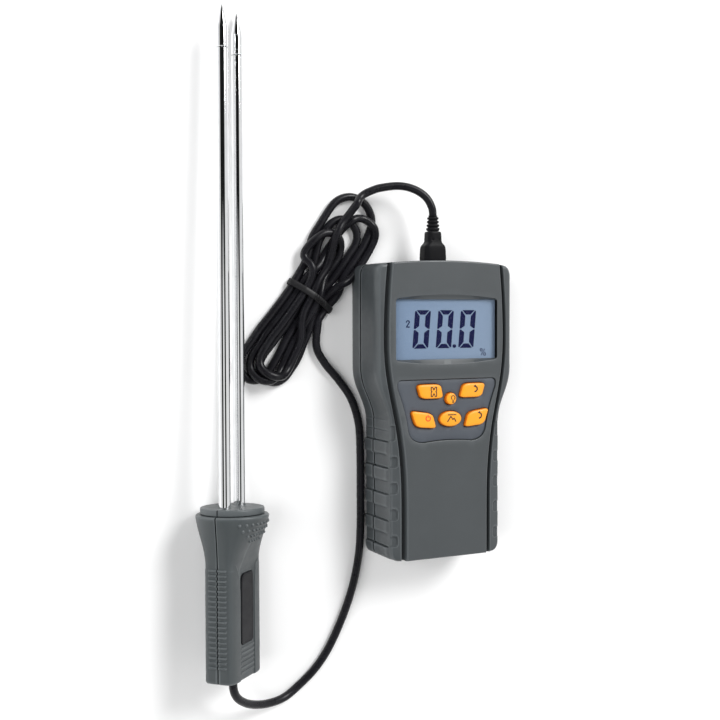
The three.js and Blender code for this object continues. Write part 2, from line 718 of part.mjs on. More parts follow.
// ---------------------------------------------------------------- cord
// hand-chosen centre line points, in the frame of the whole part
const leadPath = [
  [-122.05, -137.3, 23.3], [-122, -141.5, 22.9], [-119.6, -147.5, 20.6], [-113.6, -153, 16.4],
  [-105.5, -156.9, 11.6], [-96, -158.9, 7.2], [-86, -158.2, 4], [-76.5, -153, 2.6], [-68, -146.2, 2.5],
  [-60.2, -137, 2.5], [-50.8, -119.9, 2.5], [-43.6, -101.2, 2.5], [-39.6, -83, 2.5], [-38.5, -66, 2.5],
  [-38.4, -45, 2.5], [-38.5, -25, 2.5], [-39.6, -8, 2.5], [-44.4, 6, 2.5], [-52, 16.5, 2.5], [-60.3, 26, 2.5],
  [-65.2, 35, 2.7], [-64.9, 44.1, 3],
];
const plugPath = [
  [0, 109.1, 18], [-0.6, 113, 17.9], [-3.6, 118.6, 16.8], [-9.5, 122.8, 15], [-18, 124.8, 13], [-27, 124.2, 11.4],
  [-35, 121.6, 10.6], [-41.6, 117.6, 10.2],
];

function makeCordRun(points, sections) {
  const curve = new THREE.CatmullRomCurve3(points.map((point) => new THREE.Vector3(...point)), false, "centripetal");
  const sides = 8;
  const ring = new THREE.Shape();
  for (let index = 0; index < sides; index += 1) {
    const angle = (index / sides) * 2 * Math.PI;
    const corner = [cordRadius * Math.cos(angle), cordRadius * Math.sin(angle)];
    if (index === 0) {
      ring.moveTo(...corner);
    } else {
      ring.lineTo(...corner);
    }
  }
  ring.closePath();
  return toManifold(new THREE.ExtrudeGeometry(ring, { extrudePath: curve, steps: sections, bevelEnabled: false }));
}

place(part, "cord_probe_lead", makeCordRun(leadPath, 48), blackRubber);
place(part, "cord_plug_lead", makeCordRun(plugPath, 14), blackRubber);

// outer shape of the tied hank: two fanned halves and the bound waist between them
const hankTop = [-38.5, 109.5];
const hankLow = [-100.5, 17.5];
const hankHeight = 13;
const tieShare = 0.5;
const tieWidth = 6;

function hankOutline(from, to) {
  const length = Math.hypot(hankTop[0] - hankLow[0], hankTop[1] - hankLow[1]);
  const halfWidths = [[0, 8], [0.12, 12.5], [0.3, 12], [0.48, 9.5], [0.54, 9.5], [0.7, 10.5], [0.9, 13.5], [1, 9]];
  const inside = halfWidths.filter(([share]) => share > from && share < to).map(([share, half]) => [share, half]);
  const widthAt = (share) => {
    const next = halfWidths.findIndex(([at]) => at >= share);
    const [s0, w0] = halfWidths[Math.max(next - 1, 0)];
    const [s1, w1] = halfWidths[next];
    return s1 === s0 ? w1 : THREE.MathUtils.lerp(w0, w1, (share - s0) / (s1 - s0));
  };
  const stations = [[from, widthAt(from)], ...inside, [to, widthAt(to)]];
  const shape = new THREE.Shape();
  shape.moveTo(-stations[0][1], stations[0][0] * length);
  stations.forEach(([share, half]) => shape.lineTo(half, share * length));
  [...stations].reverse().forEach(([share, half]) => shape.lineTo(-half, share * length));
  return shape;
}

function makeHankPiece(shape, low, high) {
  const angle = Math.atan2(hankTop[1] - hankLow[1], hankTop[0] - hankLow[0]) - Math.PI / 2;
  const geometry = new THREE.ExtrudeGeometry(shape, { depth: high - low, bevelEnabled: false });
  geometry.translate(0, 0, low);
  geometry.rotateZ(angle);
  geometry.translate(hankLow[0], hankLow[1], 0);
  return toManifold(geometry);
}

function makeHank() {
  return makeHankPiece(hankOutline(0, 1), gap, hankHeight);
}

function makeTie() {
  const length = Math.hypot(hankTop[0] - hankLow[0], hankTop[1] - hankLow[1]);
  const y = tieShare * length;
  const outer = roundRect(-11, 11, y - tieWidth / 2, y + tieWidth / 2, 0.5);
  return makeHankPiece(outer, 0.1, hankHeight + 1.4);
}

const tieSolid = makeTie();
const tieLength = Math.hypot(hankTop[0] - hankLow[0], hankTop[1] - hankLow[1]);
const tieClear = makeHankPiece(
  roundRect(-9.9, 9.9, tieShare * tieLength - 8, tieShare * tieLength + 8, 0.5), -1, hankHeight + gap);
place(part, "cord_tie", tieSolid.subtract(tieClear), blackPlastic);
place(part, "cord_hank", makeHank(), blackRubber);

export default part;
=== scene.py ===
import math

import bmesh
import bpy
import numpy as np
from mathutils import Matrix, Vector
from mathutils.geometry import delaunay_2d_cdt


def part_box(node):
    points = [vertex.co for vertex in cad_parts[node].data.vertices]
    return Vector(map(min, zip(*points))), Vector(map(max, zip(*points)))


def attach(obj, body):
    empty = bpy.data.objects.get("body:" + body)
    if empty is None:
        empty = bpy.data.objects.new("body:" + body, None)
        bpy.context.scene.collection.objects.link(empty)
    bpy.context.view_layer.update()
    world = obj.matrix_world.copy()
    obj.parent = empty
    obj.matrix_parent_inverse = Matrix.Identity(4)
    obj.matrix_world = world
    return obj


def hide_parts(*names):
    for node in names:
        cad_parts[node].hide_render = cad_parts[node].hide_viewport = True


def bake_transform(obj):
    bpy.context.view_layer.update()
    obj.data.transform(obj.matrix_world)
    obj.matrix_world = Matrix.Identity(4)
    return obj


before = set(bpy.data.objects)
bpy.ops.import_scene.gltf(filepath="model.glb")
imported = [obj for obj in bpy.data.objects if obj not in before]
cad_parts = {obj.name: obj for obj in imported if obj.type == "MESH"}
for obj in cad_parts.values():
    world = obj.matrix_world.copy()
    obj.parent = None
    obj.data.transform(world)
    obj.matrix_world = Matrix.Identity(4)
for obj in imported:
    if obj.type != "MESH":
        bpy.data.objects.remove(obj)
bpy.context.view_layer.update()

MM = 0.001
TAU = 2 * math.pi


# ---------------------------------------------------------------- places
# shapes are worked out in millimetres, in the meter's own frame (its bottom edge at y 0),
# in the probe's own frame (its axis along y) or in the whole part's frame
METER_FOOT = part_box("main_board")[0][1] / MM - 8


def probe_matrix():
    roll = math.radians(44)
    tilt = math.radians(-2.355)
    yaw = math.radians(-0.9)
    turn = Matrix.Rotation(yaw, 4, "Z") @ Matrix.Rotation(tilt, 4, "X") @ Matrix.Rotation(roll, 4, "Y")
    return Matrix.Translation((-121.9, METER_FOOT - 53.2, 22.95)) @ turn


WHOLE = Matrix.Identity(4)
METER = Matrix.Translation((0, METER_FOOT, 0))
PROBE = probe_matrix()


# ---------------------------------------------------------------- curves in the plane
def ramp(value, low, high):
    """0 below low, 1 above high and an eased step between them."""
    share = np.clip((np.asarray(value, float) - low) / (high - low), 0, 1)
    return share * share * (3 - 2 * share)


def bend(knots, share):
    """The points at these shares along the line, quadratic or cubic bend with these knots."""
    knots = [np.array(knot, float) for knot in knots]
    while len(knots) > 1:
        knots = [a * (1 - share) + b * share for a, b in zip(knots, knots[1:])]
    return knots[0]


def trace(start, moves, step=0.8):
    """Points along a closed outline of lines, quadratic and cubic bends."""
    points = []
    here = np.array(start, float)
    for move in moves:
        knots = [here] + [np.array(knot, float) for knot in move]
        reach = sum(np.linalg.norm(b - a) for a, b in zip(knots, knots[1:]))
        count = max(2, round(reach / step))
        share = (np.arange(count) / count)[:, None]
        points.extend(bend(knots, share))
        here = np.array(move[-1], float)
    return np.array(points)


def round_rect(x0, x1, y0, y1, radius, step=0.8, upper_left=None):
    """A rectangle with rounded corners, the upper left one with its own radius if given."""
    k = radius
    left = upper_left or radius
    moves = [
        [(x1 - k, y0)], [(x1, y0), (x1, y0 + k)], [(x1, y1 - k)], [(x1, y1), (x1 - k, y1)],
        [(x0 + left, y1)], [(x0, y1), (x0, y1 - left)], [(x0, y0 + k)], [(x0, y0), (x0 + k, y0)],
    ]
    return trace((x0 + k, y0), moves, step)


def ellipse(x, y, half_width, half_height, count=64):
    angle = np.arange(count) / count * TAU
    return np.stack([x + half_width * np.cos(angle), y + half_height * np.sin(angle)], 1)


def grown(outline, distance):
    """The outline moved outwards along its normals (counter-clockwise outlines)."""
    along = np.roll(outline, -1, 0) - np.roll(outline, 1, 0)
    along /= np.linalg.norm(along, axis=1)[:, None] + 1e-12
    return outline + distance * np.stack([along[:, 1], -along[:, 0]], 1)


def inside(points, outline):
    x, y = points[:, 0][:, None], points[:, 1][:, None]
    x0, y0 = outline[:, 0][None], outline[:, 1][None]
    x1, y1 = np.roll(x0, -1), np.roll(y0, -1)
    spans = (y0 > y) != (y1 > y)
    with np.errstate(divide="ignore", invalid="ignore"):
        cross = (x1 - x0) * (y - y0) / (y1 - y0) + x0
    return (np.where(spans, x < cross, False).sum(1) % 2) == 1


def clearance(points, outline):
    """Distance from each point to the nearest outline point."""
    gaps = np.linalg.norm(points[:, None] - outline[None], axis=2)
    return gaps.min(1)


# ---------------------------------------------------------------- meshes
class Skin:
    """Vertices and faces gathered before they become one Blender mesh."""

    def __init__(self):
        self.points = []
        self.faces = []

    def add(self, points, faces):
        base = len(self.points)
        self.points.extend([tuple(point) for point in points])
        self.faces.extend([tuple(base + k for k in face) for face in faces])

    def grid(self, rows, closed=False, flip=False):
        rows = np.asarray(rows, float)
        count, width = rows.shape[:2]
        faces = []
        for row in range(count - 1):
            for k in range(width if closed else width - 1):
                a, b = row * width + k, row * width + (k + 1) % width
                quad = (a, b, b + width, a + width)
                faces.append(quad[::-1] if flip else quad)
        self.add(rows.reshape(-1, 3), faces)

    def fan(self, ring, flip=False):
        face = tuple(range(len(ring)))
        self.add(ring, [face[::-1] if flip else face])

    def body(self, rows):
        """A closed body from rings: its wall, its first ring and its last ring."""
        self.grid(rows, closed=True)
        self.fan(rows[0])
        self.fan(rows[-1], flip=True)

    def region(self, outline, holes, height, step=2.0, flip=False):
        """A sheet over a plane region with holes; height is a number or a function of x and y."""
        loops = [outline] + list(holes)
        low, high = outline.min(0), outline.max(0)
        xs = np.arange(low[0] + step / 2, high[0], step)
        ys = np.arange(low[1] + step / 2, high[1], step)
        seeds = np.stack(np.meshgrid(xs, ys), -1).reshape(-1, 2)
        keep = inside(seeds, outline)
        for hole in holes:
            keep &= ~inside(seeds, hole)
        seeds = seeds[keep]
        if len(seeds):
            seeds = seeds[clearance(seeds, np.concatenate(loops)) > step * 0.45]
        flat = np.concatenate(loops + [seeds])
        edges = []
        base = 0
        for loop in loops:
            size = len(loop)
            edges += [(base + k, base + (k + 1) % size) for k in range(size)]
            base += size
        result = delaunay_2d_cdt([Vector(point) for point in flat], edges, [], 0, 1e-5)
        spots = np.array([tuple(point) for point in result[0]])
        middles = np.array([spots[list(face)].mean(0) for face in result[2]])
        wanted = inside(middles, outline)
        for hole in holes:
            wanted &= ~inside(middles, hole)
        faces = [tuple(face) for face, good in zip(result[2], wanted) if good]
        if flip:
            faces = [face[::-1] for face in faces]
        z = height(spots[:, 0], spots[:, 1]) if callable(height) else height
        self.add(lift(spots, z), faces)

    def merge(self, other):
        self.add(other.points, other.faces)


def upright_ring(ring, y):
    """Points (x, z) of a cross-section at height y."""
    return np.stack([ring[:, 0], np.full(len(ring), y), ring[:, 1]], 1)


def lift(outline, z):
    return np.column_stack([outline, np.broadcast_to(z, len(outline))])


def new_object(name, data):
    piece = bpy.data.objects.new(name, data)
    bpy.context.scene.collection.objects.link(piece)
    return piece


def soften(work, sharp):
    """Smooth shading, except over edges sharper than this many degrees."""
    limit = math.radians(sharp)
    for face in work.faces:
        face.smooth = True
    for edge in work.edges:
        edge.smooth = len(edge.link_faces) == 2 and edge.calc_face_angle(0) < limit


# points of a skin closer together than this are one point
WELD = 0.004


def shaped(name, skin, place, material, body, stands_for=(), sharp=32):
    """A named piece made of the skin: welded, smooth below the sharp angle, and riding on its body."""
    mesh = bpy.data.meshes.new(name)
    points = [tuple((place @ Vector(point)) * MM) for point in skin.points]
    mesh.from_pydata(points, [], skin.faces)
    work = bmesh.new()
    work.from_mesh(mesh)
    bmesh.ops.remove_doubles(work, verts=work.verts, dist=WELD * MM)
    bmesh.ops.dissolve_degenerate(work, dist=1e-7, edges=work.edges)
    bmesh.ops.recalc_face_normals(work, faces=work.faces)
    soften(work, sharp)
    work.to_mesh(mesh)
    work.free()
    piece = new_object(name, mesh)
    mesh.materials.append(material)
    if body:
        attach(piece, body)
    if stands_for:
        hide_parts(*stands_for)
    return piece


def shade_faces(piece, place, deep):
    """Paint shade onto the faces that lie deep, with a dark material that stands in for the shade there:
    deep(middle, normal) is asked in the place's frame.
    """
    back = place.inverted()
    piece.data.materials.append(PAINTED_SHADE)
    for face in piece.data.polygons:
        if deep(back @ (face.center / MM), back.to_3x3() @ face.normal):
            face.material_index = 1


def shade_joint(piece, place, height):
    """Painted shade on the narrow flat faces down in a joint, at this height."""
    shade_faces(piece, place, lambda spot, normal: abs(normal.z) > 0.9 and abs(spot.z - height) < 0.05)


# ---------------------------------------------------------------- camera
def make_camera():
    swing = math.radians(25.346)
    dip = math.radians(-2.378)
    roll = math.radians(-0.199)
    distance = 625.08 * MM
    target = Vector((-37.25, METER_FOOT + 109.55, 0)) * MM
    back = Vector((-math.sin(swing) * math.cos(dip), -math.sin(dip), math.cos(swing) * math.cos(dip)))
    right = Vector((0, 1, 0)).cross(back).normalized()
    up = back.cross(right)
    turned_right = right * math.cos(roll) + up * math.sin(roll)
    turned_up = up * math.cos(roll) - right * math.sin(roll)
    place = Matrix((turned_right, turned_up, back)).transposed().to_4x4()
    place.translation = target + back * distance
    data = bpy.data.cameras.new("camera")
    data.sensor_width = 36
    data.lens = 55.05
    data.clip_start = 0.01
    camera = new_object("camera", data)
    camera.matrix_world = place
    bpy.context.scene.camera = camera


make_camera()


# ---------------------------------------------------------------- materials
def base_material(name, color, roughness, metallic=0.0, specular=0.5):
    material = bpy.data.materials.new(name)
    material.use_nodes = True
    shader = material.node_tree.nodes["Principled BSDF"]
    shader.inputs["Base Color"].default_value = (*color, 1)
    shader.inputs["Roughness"].default_value = roughness
    shader.inputs["Metallic"].default_value = metallic
    shader.inputs["Specular IOR Level"].default_value = specular
    return material, shader


def noise(tree, scale, detail=3, rough=0.55):
    spot = tree.nodes.new("ShaderNodeTexCoord")
    texture = tree.nodes.new("ShaderNodeTexNoise")
    texture.inputs["Scale"].default_value = scale
    texture.inputs["Detail"].default_value = detail
    texture.inputs["Roughness"].default_value = rough
    tree.links.new(spot.outputs["Object"], texture.inputs["Vector"])
    return texture.outputs["Fac"]


def spread(tree, value, low, high, from_low=0.3, from_high=0.7):
    node = tree.nodes.new("ShaderNodeMapRange")
    node.inputs["From Min"].default_value = from_low
    node.inputs["From Max"].default_value = from_high
    node.inputs["To Min"].default_value = low
    node.inputs["To Max"].default_value = high
    tree.links.new(value, node.inputs["Value"])
    return node.outputs["Result"]


def blend_colors(tree, share, first, second, way="MIX"):
    """Two colours blended by share; each of the three is a plain value or another node's output."""
    node = tree.nodes.new("ShaderNodeMix")
    node.data_type = "RGBA"
    node.blend_type = way
    for socket, value in (("Factor", share), ("A", first), ("B", second)):
        if isinstance(value, bpy.types.NodeSocket):
            tree.links.new(value, node.inputs[socket])
        else:
            node.inputs[socket].default_value = (*value, 1) if isinstance(value, tuple) else value
    return node.outputs["Result"]


def fine_relief(tree, shader, height, strength, distance):
    bump = tree.nodes.new("ShaderNodeBump")
    bump.inputs["Strength"].default_value = strength
    bump.inputs["Distance"].default_value = distance
    tree.links.new(height, bump.inputs["Height"])
    tree.links.new(bump.outputs["Normal"], shader.inputs["Normal"])


def textured(name, color, roughness, grain=0.05, grain_scale=2600, variation=0.12, edge_wear_and_highlight=0.0, specular=0.5):
    """Moulded plastic or rubber: fine grain, uneven sheen, soft colour drift and edges lightened by
    pointiness, partly as wear and partly as painted highlight.
    """
    material, shader = base_material(name, color, roughness, specular=specular)
    tree = material.node_tree
    dark = tuple(channel * (1 - variation) for channel in color)
    light = tuple(channel * (1 + variation) for channel in color)
    drift = blend_colors(tree, spread(tree, noise(tree, 38), 0, 1), dark, light)
    # edges lightened by pointiness: partly wear, partly a painted highlight where rounded edges would catch
    # the light
    if edge_wear_and_highlight:
        shape = tree.nodes.new("ShaderNodeNewGeometry")
        edge = spread(tree, shape.outputs["Pointiness"], 0, edge_wear_and_highlight, 0.503, 0.525)
        pale = tuple(min(1, channel * 1.7 + 0.02) for channel in color)
        drift = blend_colors(tree, edge, drift, pale)
    tree.links.new(drift, shader.inputs["Base Color"])
    sheen = spread(tree, noise(tree, 210, 4), roughness * 0.86, min(1, roughness * 1.14))
    tree.links.new(sheen, shader.inputs["Roughness"])
    if grain:
        fine_relief(tree, shader, noise(tree, grain_scale, 2), grain, 0.00012)
    return material


def paint_shade_on_sides(material, deep):
    """Painted shade: the colour sinks towards a darker one, deep, where the surface turns away from the
    front.
    """
    tree = material.node_tree
    shader = tree.nodes["Principled BSDF"]
    top = shader.inputs["Base Color"].links[0].from_socket
    shape = tree.nodes.new("ShaderNodeNewGeometry")
    parts = tree.nodes.new("ShaderNodeSeparateXYZ")
    tree.links.new(shape.outputs["Normal"], parts.inputs["Vector"])
    facing = spread(tree, parts.outputs["Z"], 0, 1, 0.45, 0.92)
    tree.links.new(blend_colors(tree, facing, deep, top), shader.inputs["Base Color"])


def polished(name, color, roughness, brush):
    """Ground and polished metal with faint turning marks."""
    material, shader = base_material(name, color, roughness, metallic=1.0)
    tree = material.node_tree
    tone = blend_colors(tree, spread(tree, noise(tree, 90), 0, 1), tuple(c * 0.93 for c in color), color)
    tree.links.new(tone, shader.inputs["Base Color"])
    rub = spread(tree, noise(tree, 900, 3, 0.6), roughness * 0.6, roughness * 1.5)
    tree.links.new(rub, shader.inputs["Roughness"])
    fine_relief(tree, shader, noise(tree, 1400, 2, 0.5), brush, 0.00003)
    return material


# the case, handle and plug get edges lightened as wear and as painted highlight
CASE = textured("case_plastic_look", (0.054, 0.061, 0.065), 0.40, 0.12, 2400, 0.05, edge_wear_and_highlight=0.6)
HANDLE = textured("handle_plastic_look", (0.050, 0.058, 0.061), 0.44, 0.12, 2400, 0.06, edge_wear_and_highlight=0.6)
PANEL = textured("panel_look", (0.066, 0.076, 0.092), 0.5, 0.12, 1500, 0.05)
ORANGE = textured("orange_rubber_look", (0.91, 0.355, 0.014), 0.42, 0.05, 2600, 0.04)
# painted shade: the keys' side walls get a darker orange than their tops
paint_shade_on_sides(ORANGE, (0.70, 0.17, 0.004))
CORD = textured("cord_pvc_look", (0.009, 0.0088, 0.011), 0.28, 0.05, 1900, 0.25, specular=0.22)
PLUG = textured("plug_rubber_look", (0.006, 0.006, 0.007), 0.40, 0.12, 2600, 0.15, edge_wear_and_highlight=0.2, specular=0.1)
LABEL = textured("label_film_look", (0.010, 0.010, 0.012), 0.42, 0.03, 3600, 0.08, specular=0.15)
TIE = textured("tie_look", (0.012, 0.012, 0.013), 0.45, 0.08, 2600, 0.15, specular=0.3)
# painted shade: a dark material laid on faces in joints, gaps and hollow walls where shade falls
PAINTED_SHADE = textured("painted_shade_look", (0.006, 0.007, 0.008), 0.8, 0, 2400, 0.1, specular=0.0)
STEEL = polished("polished_steel_look", (0.86, 0.87, 0.88), 0.05, 0.004)


# ---------------------------------------------------------------- cord routes
CORD_RADIUS = 2.25
HANK_LOW = np.array([-100.5, 17.5])
HANK_TOP = np.array([-38.5, 109.5])
HANK_LENGTH = float(np.linalg.norm(HANK_TOP - HANK_LOW))
HANK_ALONG = (HANK_TOP - HANK_LOW) / HANK_LENGTH
HANK_RIGHT = np.array([HANK_ALONG[1], -HANK_ALONG[0]])

# points of the two free stretches, in metres
LEAD_PATH = [
    (-0.12205, -0.1373, 0.0233), (-0.122, -0.1415, 0.0229), (-0.1196, -0.1475, 0.0206),
    (-0.1136, -0.153, 0.0164), (-0.1055, -0.1569, 0.0116), (-0.096, -0.1589, 0.0072),
    (-0.086, -0.1582, 0.004), (-0.0765, -0.153, 0.0026), (-0.068, -0.1462, 0.0025),
    (-0.0602, -0.137, 0.0025), (-0.0508, -0.1199, 0.0025), (-0.0436, -0.1012, 0.0025),
    (-0.0396, -0.083, 0.0025), (-0.0385, -0.066, 0.0025), (-0.0384, -0.045, 0.0025),
    (-0.0385, -0.025, 0.0025), (-0.0396, -0.008, 0.0025), (-0.0444, 0.006, 0.0025),
    (-0.052, 0.0165, 0.0025), (-0.0603, 0.026, 0.0025), (-0.0652, 0.035, 0.0027),
    (-0.0649, 0.0441, 0.003),
]
PLUG_PATH = [
    (0.0, 0.1091, 0.018), (-0.0006, 0.113, 0.0179), (-0.0036, 0.1186, 0.0168), (-0.0095, 0.1228, 0.015),
    (-0.018, 0.1248, 0.013), (-0.027, 0.1242, 0.0114), (-0.035, 0.1216, 0.0106), (-0.0416, 0.1176, 0.0102),
]


def hank_spot(along, across, z):
    """A place in the whole part's frame from its place along and across the hank."""
    spot = HANK_LOW + along * HANK_ALONG + across * HANK_RIGHT
    return np.array([spot[0], spot[1], z])


def smooth_run(points, step):
    """Centripetal Catmull-Rom curve through the points, resampled at an even step."""
    points = np.asarray(points, float)
    ends = np.vstack([2 * points[0] - points[1], points, 2 * points[-1] - points[-2]])
    fine = []
    for k in range(len(points) - 1):
        p0, p1, p2, p3 = ends[k:k + 4]
        t1 = np.linalg.norm(p1 - p0) ** 0.5
        t2 = t1 + np.linalg.norm(p2 - p1) ** 0.5
        t3 = t2 + np.linalg.norm(p3 - p2) ** 0.5
        for t in np.linspace(t1, t2, 12, endpoint=False):
            a1 = p0 + (p1 - p0) * t / t1
            a2 = p1 + (p2 - p1) * (t - t1) / (t2 - t1)
            a3 = p2 + (p3 - p2) * (t - t2) / (t3 - t2)
            b1 = a1 + (a2 - a1) * t / t2
            b2 = a2 + (a3 - a2) * (t - t1) / (t3 - t1)
            fine.append(b1 + (b2 - b1) * (t - t1) / (t2 - t1))
    fine.append(points[-1])
    return even_run(np.array(fine), step)


def even_run(points, step):
    """The same line with its points at an even step."""
    steps = np.linalg.norm(np.diff(points, axis=0), axis=1)
    reach = np.concatenate([[0], np.cumsum(steps)])
    count = max(2, round(reach[-1] / step) + 1)
    wanted = np.linspace(0, reach[-1], count)
    return np.stack([np.interp(wanted, reach, points[:, axis]) for axis in range(points.shape[1])], 1)


# ---------------------------------------------------------------- hank
# one row per turn: where its upper loop ends and how far it reaches to both sides,
# and the same for its lower loop
HANK_TURNS = [
    {"top": 118, "top_left": -14.5, "top_right": 12.5, "low": -2, "low_left": -10.4, "low_right": 7.0},
    {"top": 104, "top_left": -12.5, "top_right": 7.0, "low": 2, "low_left": -8.0, "low_right": 9.4},
    {"top": 111, "top_left": -6.0, "top_right": 14.5, "low": 0, "low_left": -9.4, "low_right": 8.2},
    {"top": 92, "top_left": -13.5, "top_right": 5.0, "low": 4, "low_left": -7.0, "low_right": 10.4},
]
TIE_ALONG = 55.5
LAYER = 2 * CORD_RADIUS + 0.15


def hank_centre_line():
    """The route of the cord through the hank, turn after turn, before it settles."""
    route = [hank_spot(42, 14.6, 3.0), hank_spot(48.5, 11.4, 2.9)]
    right_lanes = [7.2, 4.6, 6.2, 2.4]
    left_lanes = [-6.8, -2.4, -4.8, -0.4]
    for turn, shape in enumerate(HANK_TURNS):
        base = CORD_RADIUS + 0.1 + LAYER * turn
        right, left = right_lanes[turn], left_lanes[turn]
        for k in range(13):
            angle = math.pi * k / 12
            half = (shape["top_right"] - shape["top_left"]) / 2
            middle = (shape["top_right"] + shape["top_left"]) / 2
            if k == 0:
                route.append(hank_spot(TIE_ALONG, right, base))
                route.append(hank_spot(TIE_ALONG + 14, right + 0.35 * (shape["top_right"] - right), base))
                route.append(hank_spot(shape["top"] - half - 14, shape["top_right"] - 0.8, base))
            along = shape["top"] - half * (1 - math.sin(angle))
            route.append(hank_spot(along, middle + half * math.cos(angle), base))
        route.append(hank_spot(shape["top"] - half - 14, shape["top_left"] + 0.8, base))
        route.append(hank_spot(TIE_ALONG + 14, left + 0.35 * (shape["top_left"] - left), base))
        route.append(hank_spot(TIE_ALONG, left, base))
        low_half = (shape["low_right"] - shape["low_left"]) / 2
        low_middle = (shape["low_right"] + shape["low_left"]) / 2
        next_right = (right_lanes + [0.6])[turn + 1]
        route.append(hank_spot(TIE_ALONG - 14, left + 0.4 * (shape["low_left"] - left), base))
        for k in range(13):
            angle = math.pi * k / 12
            climb = base + LAYER * k / 12
            along = shape["low"] + low_half * (1 - math.sin(angle))
            route.append(hank_spot(along, low_middle - low_half * math.cos(angle), climb))
        across = next_right + 0.4 * (shape["low_right"] - next_right)
        route.append(hank_spot(TIE_ALONG - 14, across, base + LAYER))
    top = CORD_RADIUS + 0.1 + LAYER * len(HANK_TURNS)
    route.append(hank_spot(TIE_ALONG, 0.6, top))
    route.append(hank_spot(TIE_ALONG + 20, -2.0, top))
    route.append(hank_spot(TIE_ALONG + 42, -5.6, top - 2))
    return route


def settle(points, free_from, free_to, rounds=420):
    """Let the turns sink onto each other and onto the table, each keeping its length."""
    place = points.copy()
    count = len(place)
    index = np.arange(count)
    apart = np.abs(index[:, None] - index[None]) > 4
    moving = ((index >= free_from) & (index < free_to)).astype(float)[:, None]
    links = [(hop, np.linalg.norm(place[hop:] - place[:-hop], axis=1)) for hop in (1, 2, 5, 9)]
    keep = 2 * CORD_RADIUS + 0.05
    for turn in range(rounds):
        place[:, 2] -= 0.05 * moving[:, 0]
        for hop, rest in links:
            span = place[hop:] - place[:-hop]
            size = np.linalg.norm(span, axis=1) + 1e-9
            pull = span * ((size - rest) / size * 0.22)[:, None]
            place[:-hop] += pull * moving[:-hop]
            place[hop:] -= pull * moving[hop:]
        gaps = place[:, None] - place[None]
        far = np.linalg.norm(gaps, axis=2) + 1e-9
        push = np.where(apart & (far < keep), (keep - far) / far, 0)[..., None] * gaps * 0.3
        place += push.sum(1).clip(-0.6, 0.6) * moving
        place[:, 2] = np.maximum(place[:, 2], CORD_RADIUS + 0.05)
    for _ in range(2):
        soft = place.copy()
        soft[1:-1] = 0.5 * place[1:-1] + 0.25 * (place[:-2] + place[2:])
        place = place + (soft - place) * moving
    return place


def cord_routes():
    grommet = np.array(PROBE @ Vector((0, 3, 0)))
    lead = np.vstack([grommet, np.array(LEAD_PATH) / MM])
    tail = np.vstack([(0, 105, 18), np.array(PLUG_PATH) / MM])[::-1]
    hank = smooth_run(hank_centre_line() + list(tail[:3]), 3.0)
    settled = settle(hank, 3, len(hank) - 8)
    hits = np.nonzero((settled[:, :2] - HANK_LOW) @ HANK_ALONG > TIE_ALONG)[0]
    cut = int(hits[0])
    first = np.vstack([lead[:-1], settled[1:cut + 1]])
    second = np.vstack([settled[cut:-1], tail[3:]])
    return smooth_run(first, 1.4), smooth_run(second, 1.4)


def tube(points, radius, sides=14):
    """A round tube along the points, on frames carried along without twist."""
    along = np.gradient(points, axis=0)
    along /= np.linalg.norm(along, axis=1)[:, None]
    across = np.cross(along[0], (0.3, 0.2, 0.93))
    rows = []
    angle = np.arange(sides) / sides * TAU
    for spot, ahead in zip(points, along):
        across = across - ahead * (across @ ahead)
        across /= np.linalg.norm(across)
        other = np.cross(ahead, across)
        rows.append(spot + radius * (np.outer(np.cos(angle), across) + np.outer(np.sin(angle), other)))
    skin = Skin()
    skin.body(rows)
    return skin


def make_cords():
    lead, rest = cord_routes()
    lead_piece = shaped("probe_cord", tube(lead, CORD_RADIUS), WHOLE, CORD, None,
                        ("cord_probe_lead",))
    rest_piece = shaped("meter_cord", tube(rest, CORD_RADIUS), WHOLE, CORD, None,
                        ("cord_hank", "cord_plug_lead"))
    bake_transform(lead_piece)
    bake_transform(rest_piece)
    return lead, rest


# ---------------------------------------------------------------- meter case
END_LINE = 163.4
ARCH = 1.6
SEAM = 12.8
SEAM_GAP = 0.65
SEAM_EDGE = 0.8
WING_Z = 33.6
PLATE_Z = 35.0
GROOVE_Z = 30.4
GROOVE_WIDTH = 2.8
LOW_CORNER = 6.0
HIGH_CORNER = 7.0
# the grip bands fade out between these heights, and lie at these lines
BAND_FADE = (28.0, 31.0)
BAND_LINES = [7.6 + 14.5 * k for k in range(5)]
PLATE_BEVEL = 0.9
# rounding of the ends of the plate and of the rest of the case, seen from the side
PLATE_ROUND = 0.9
CASE_ROUND = 2.6


def bend_table(*knots):
    return bend(knots, np.linspace(0, 1, 80)[:, None])


CASE_BEND = bend_table((34.6, 74), (34.6, 87.33), (43, 92.67), (43, 106))
PLATE_BEND = np.vstack([
    bend_table((25.6, 30), (25.6, 82), (36.2, 88), (36.2, 122)),
    bend_table((36.2, 122), (36.2, 142), (34, 162.8))[1:],
])


def case_half(y):
    """Half width of the case at height y, with its rounded corners in plan."""
    half = np.interp(y, CASE_BEND[:, 1], CASE_BEND[:, 0])
    low = np.clip(y / LOW_CORNER, 0, 1)
    high = np.clip((END_LINE - y) / HIGH_CORNER, 0, 1)
    return half - LOW_CORNER * (1 - low ** 0.5) ** 2 - HIGH_CORNER * (1 - high ** 0.5) ** 2


def plate_half(y):
    return np.interp(y, PLATE_BEND[:, 1], PLATE_BEND[:, 0])


def arched(points):
    """The top edge bows outwards in the middle."""
    points = np.asarray(points, float)
    x, y = points[..., 0], points[..., 1]
    bow = ARCH * np.clip(1 - (x / 35) ** 2, 0, 1) * ramp(y, 146, END_LINE)
    result = points.copy()
    result[..., 1] = y + bow
    return result


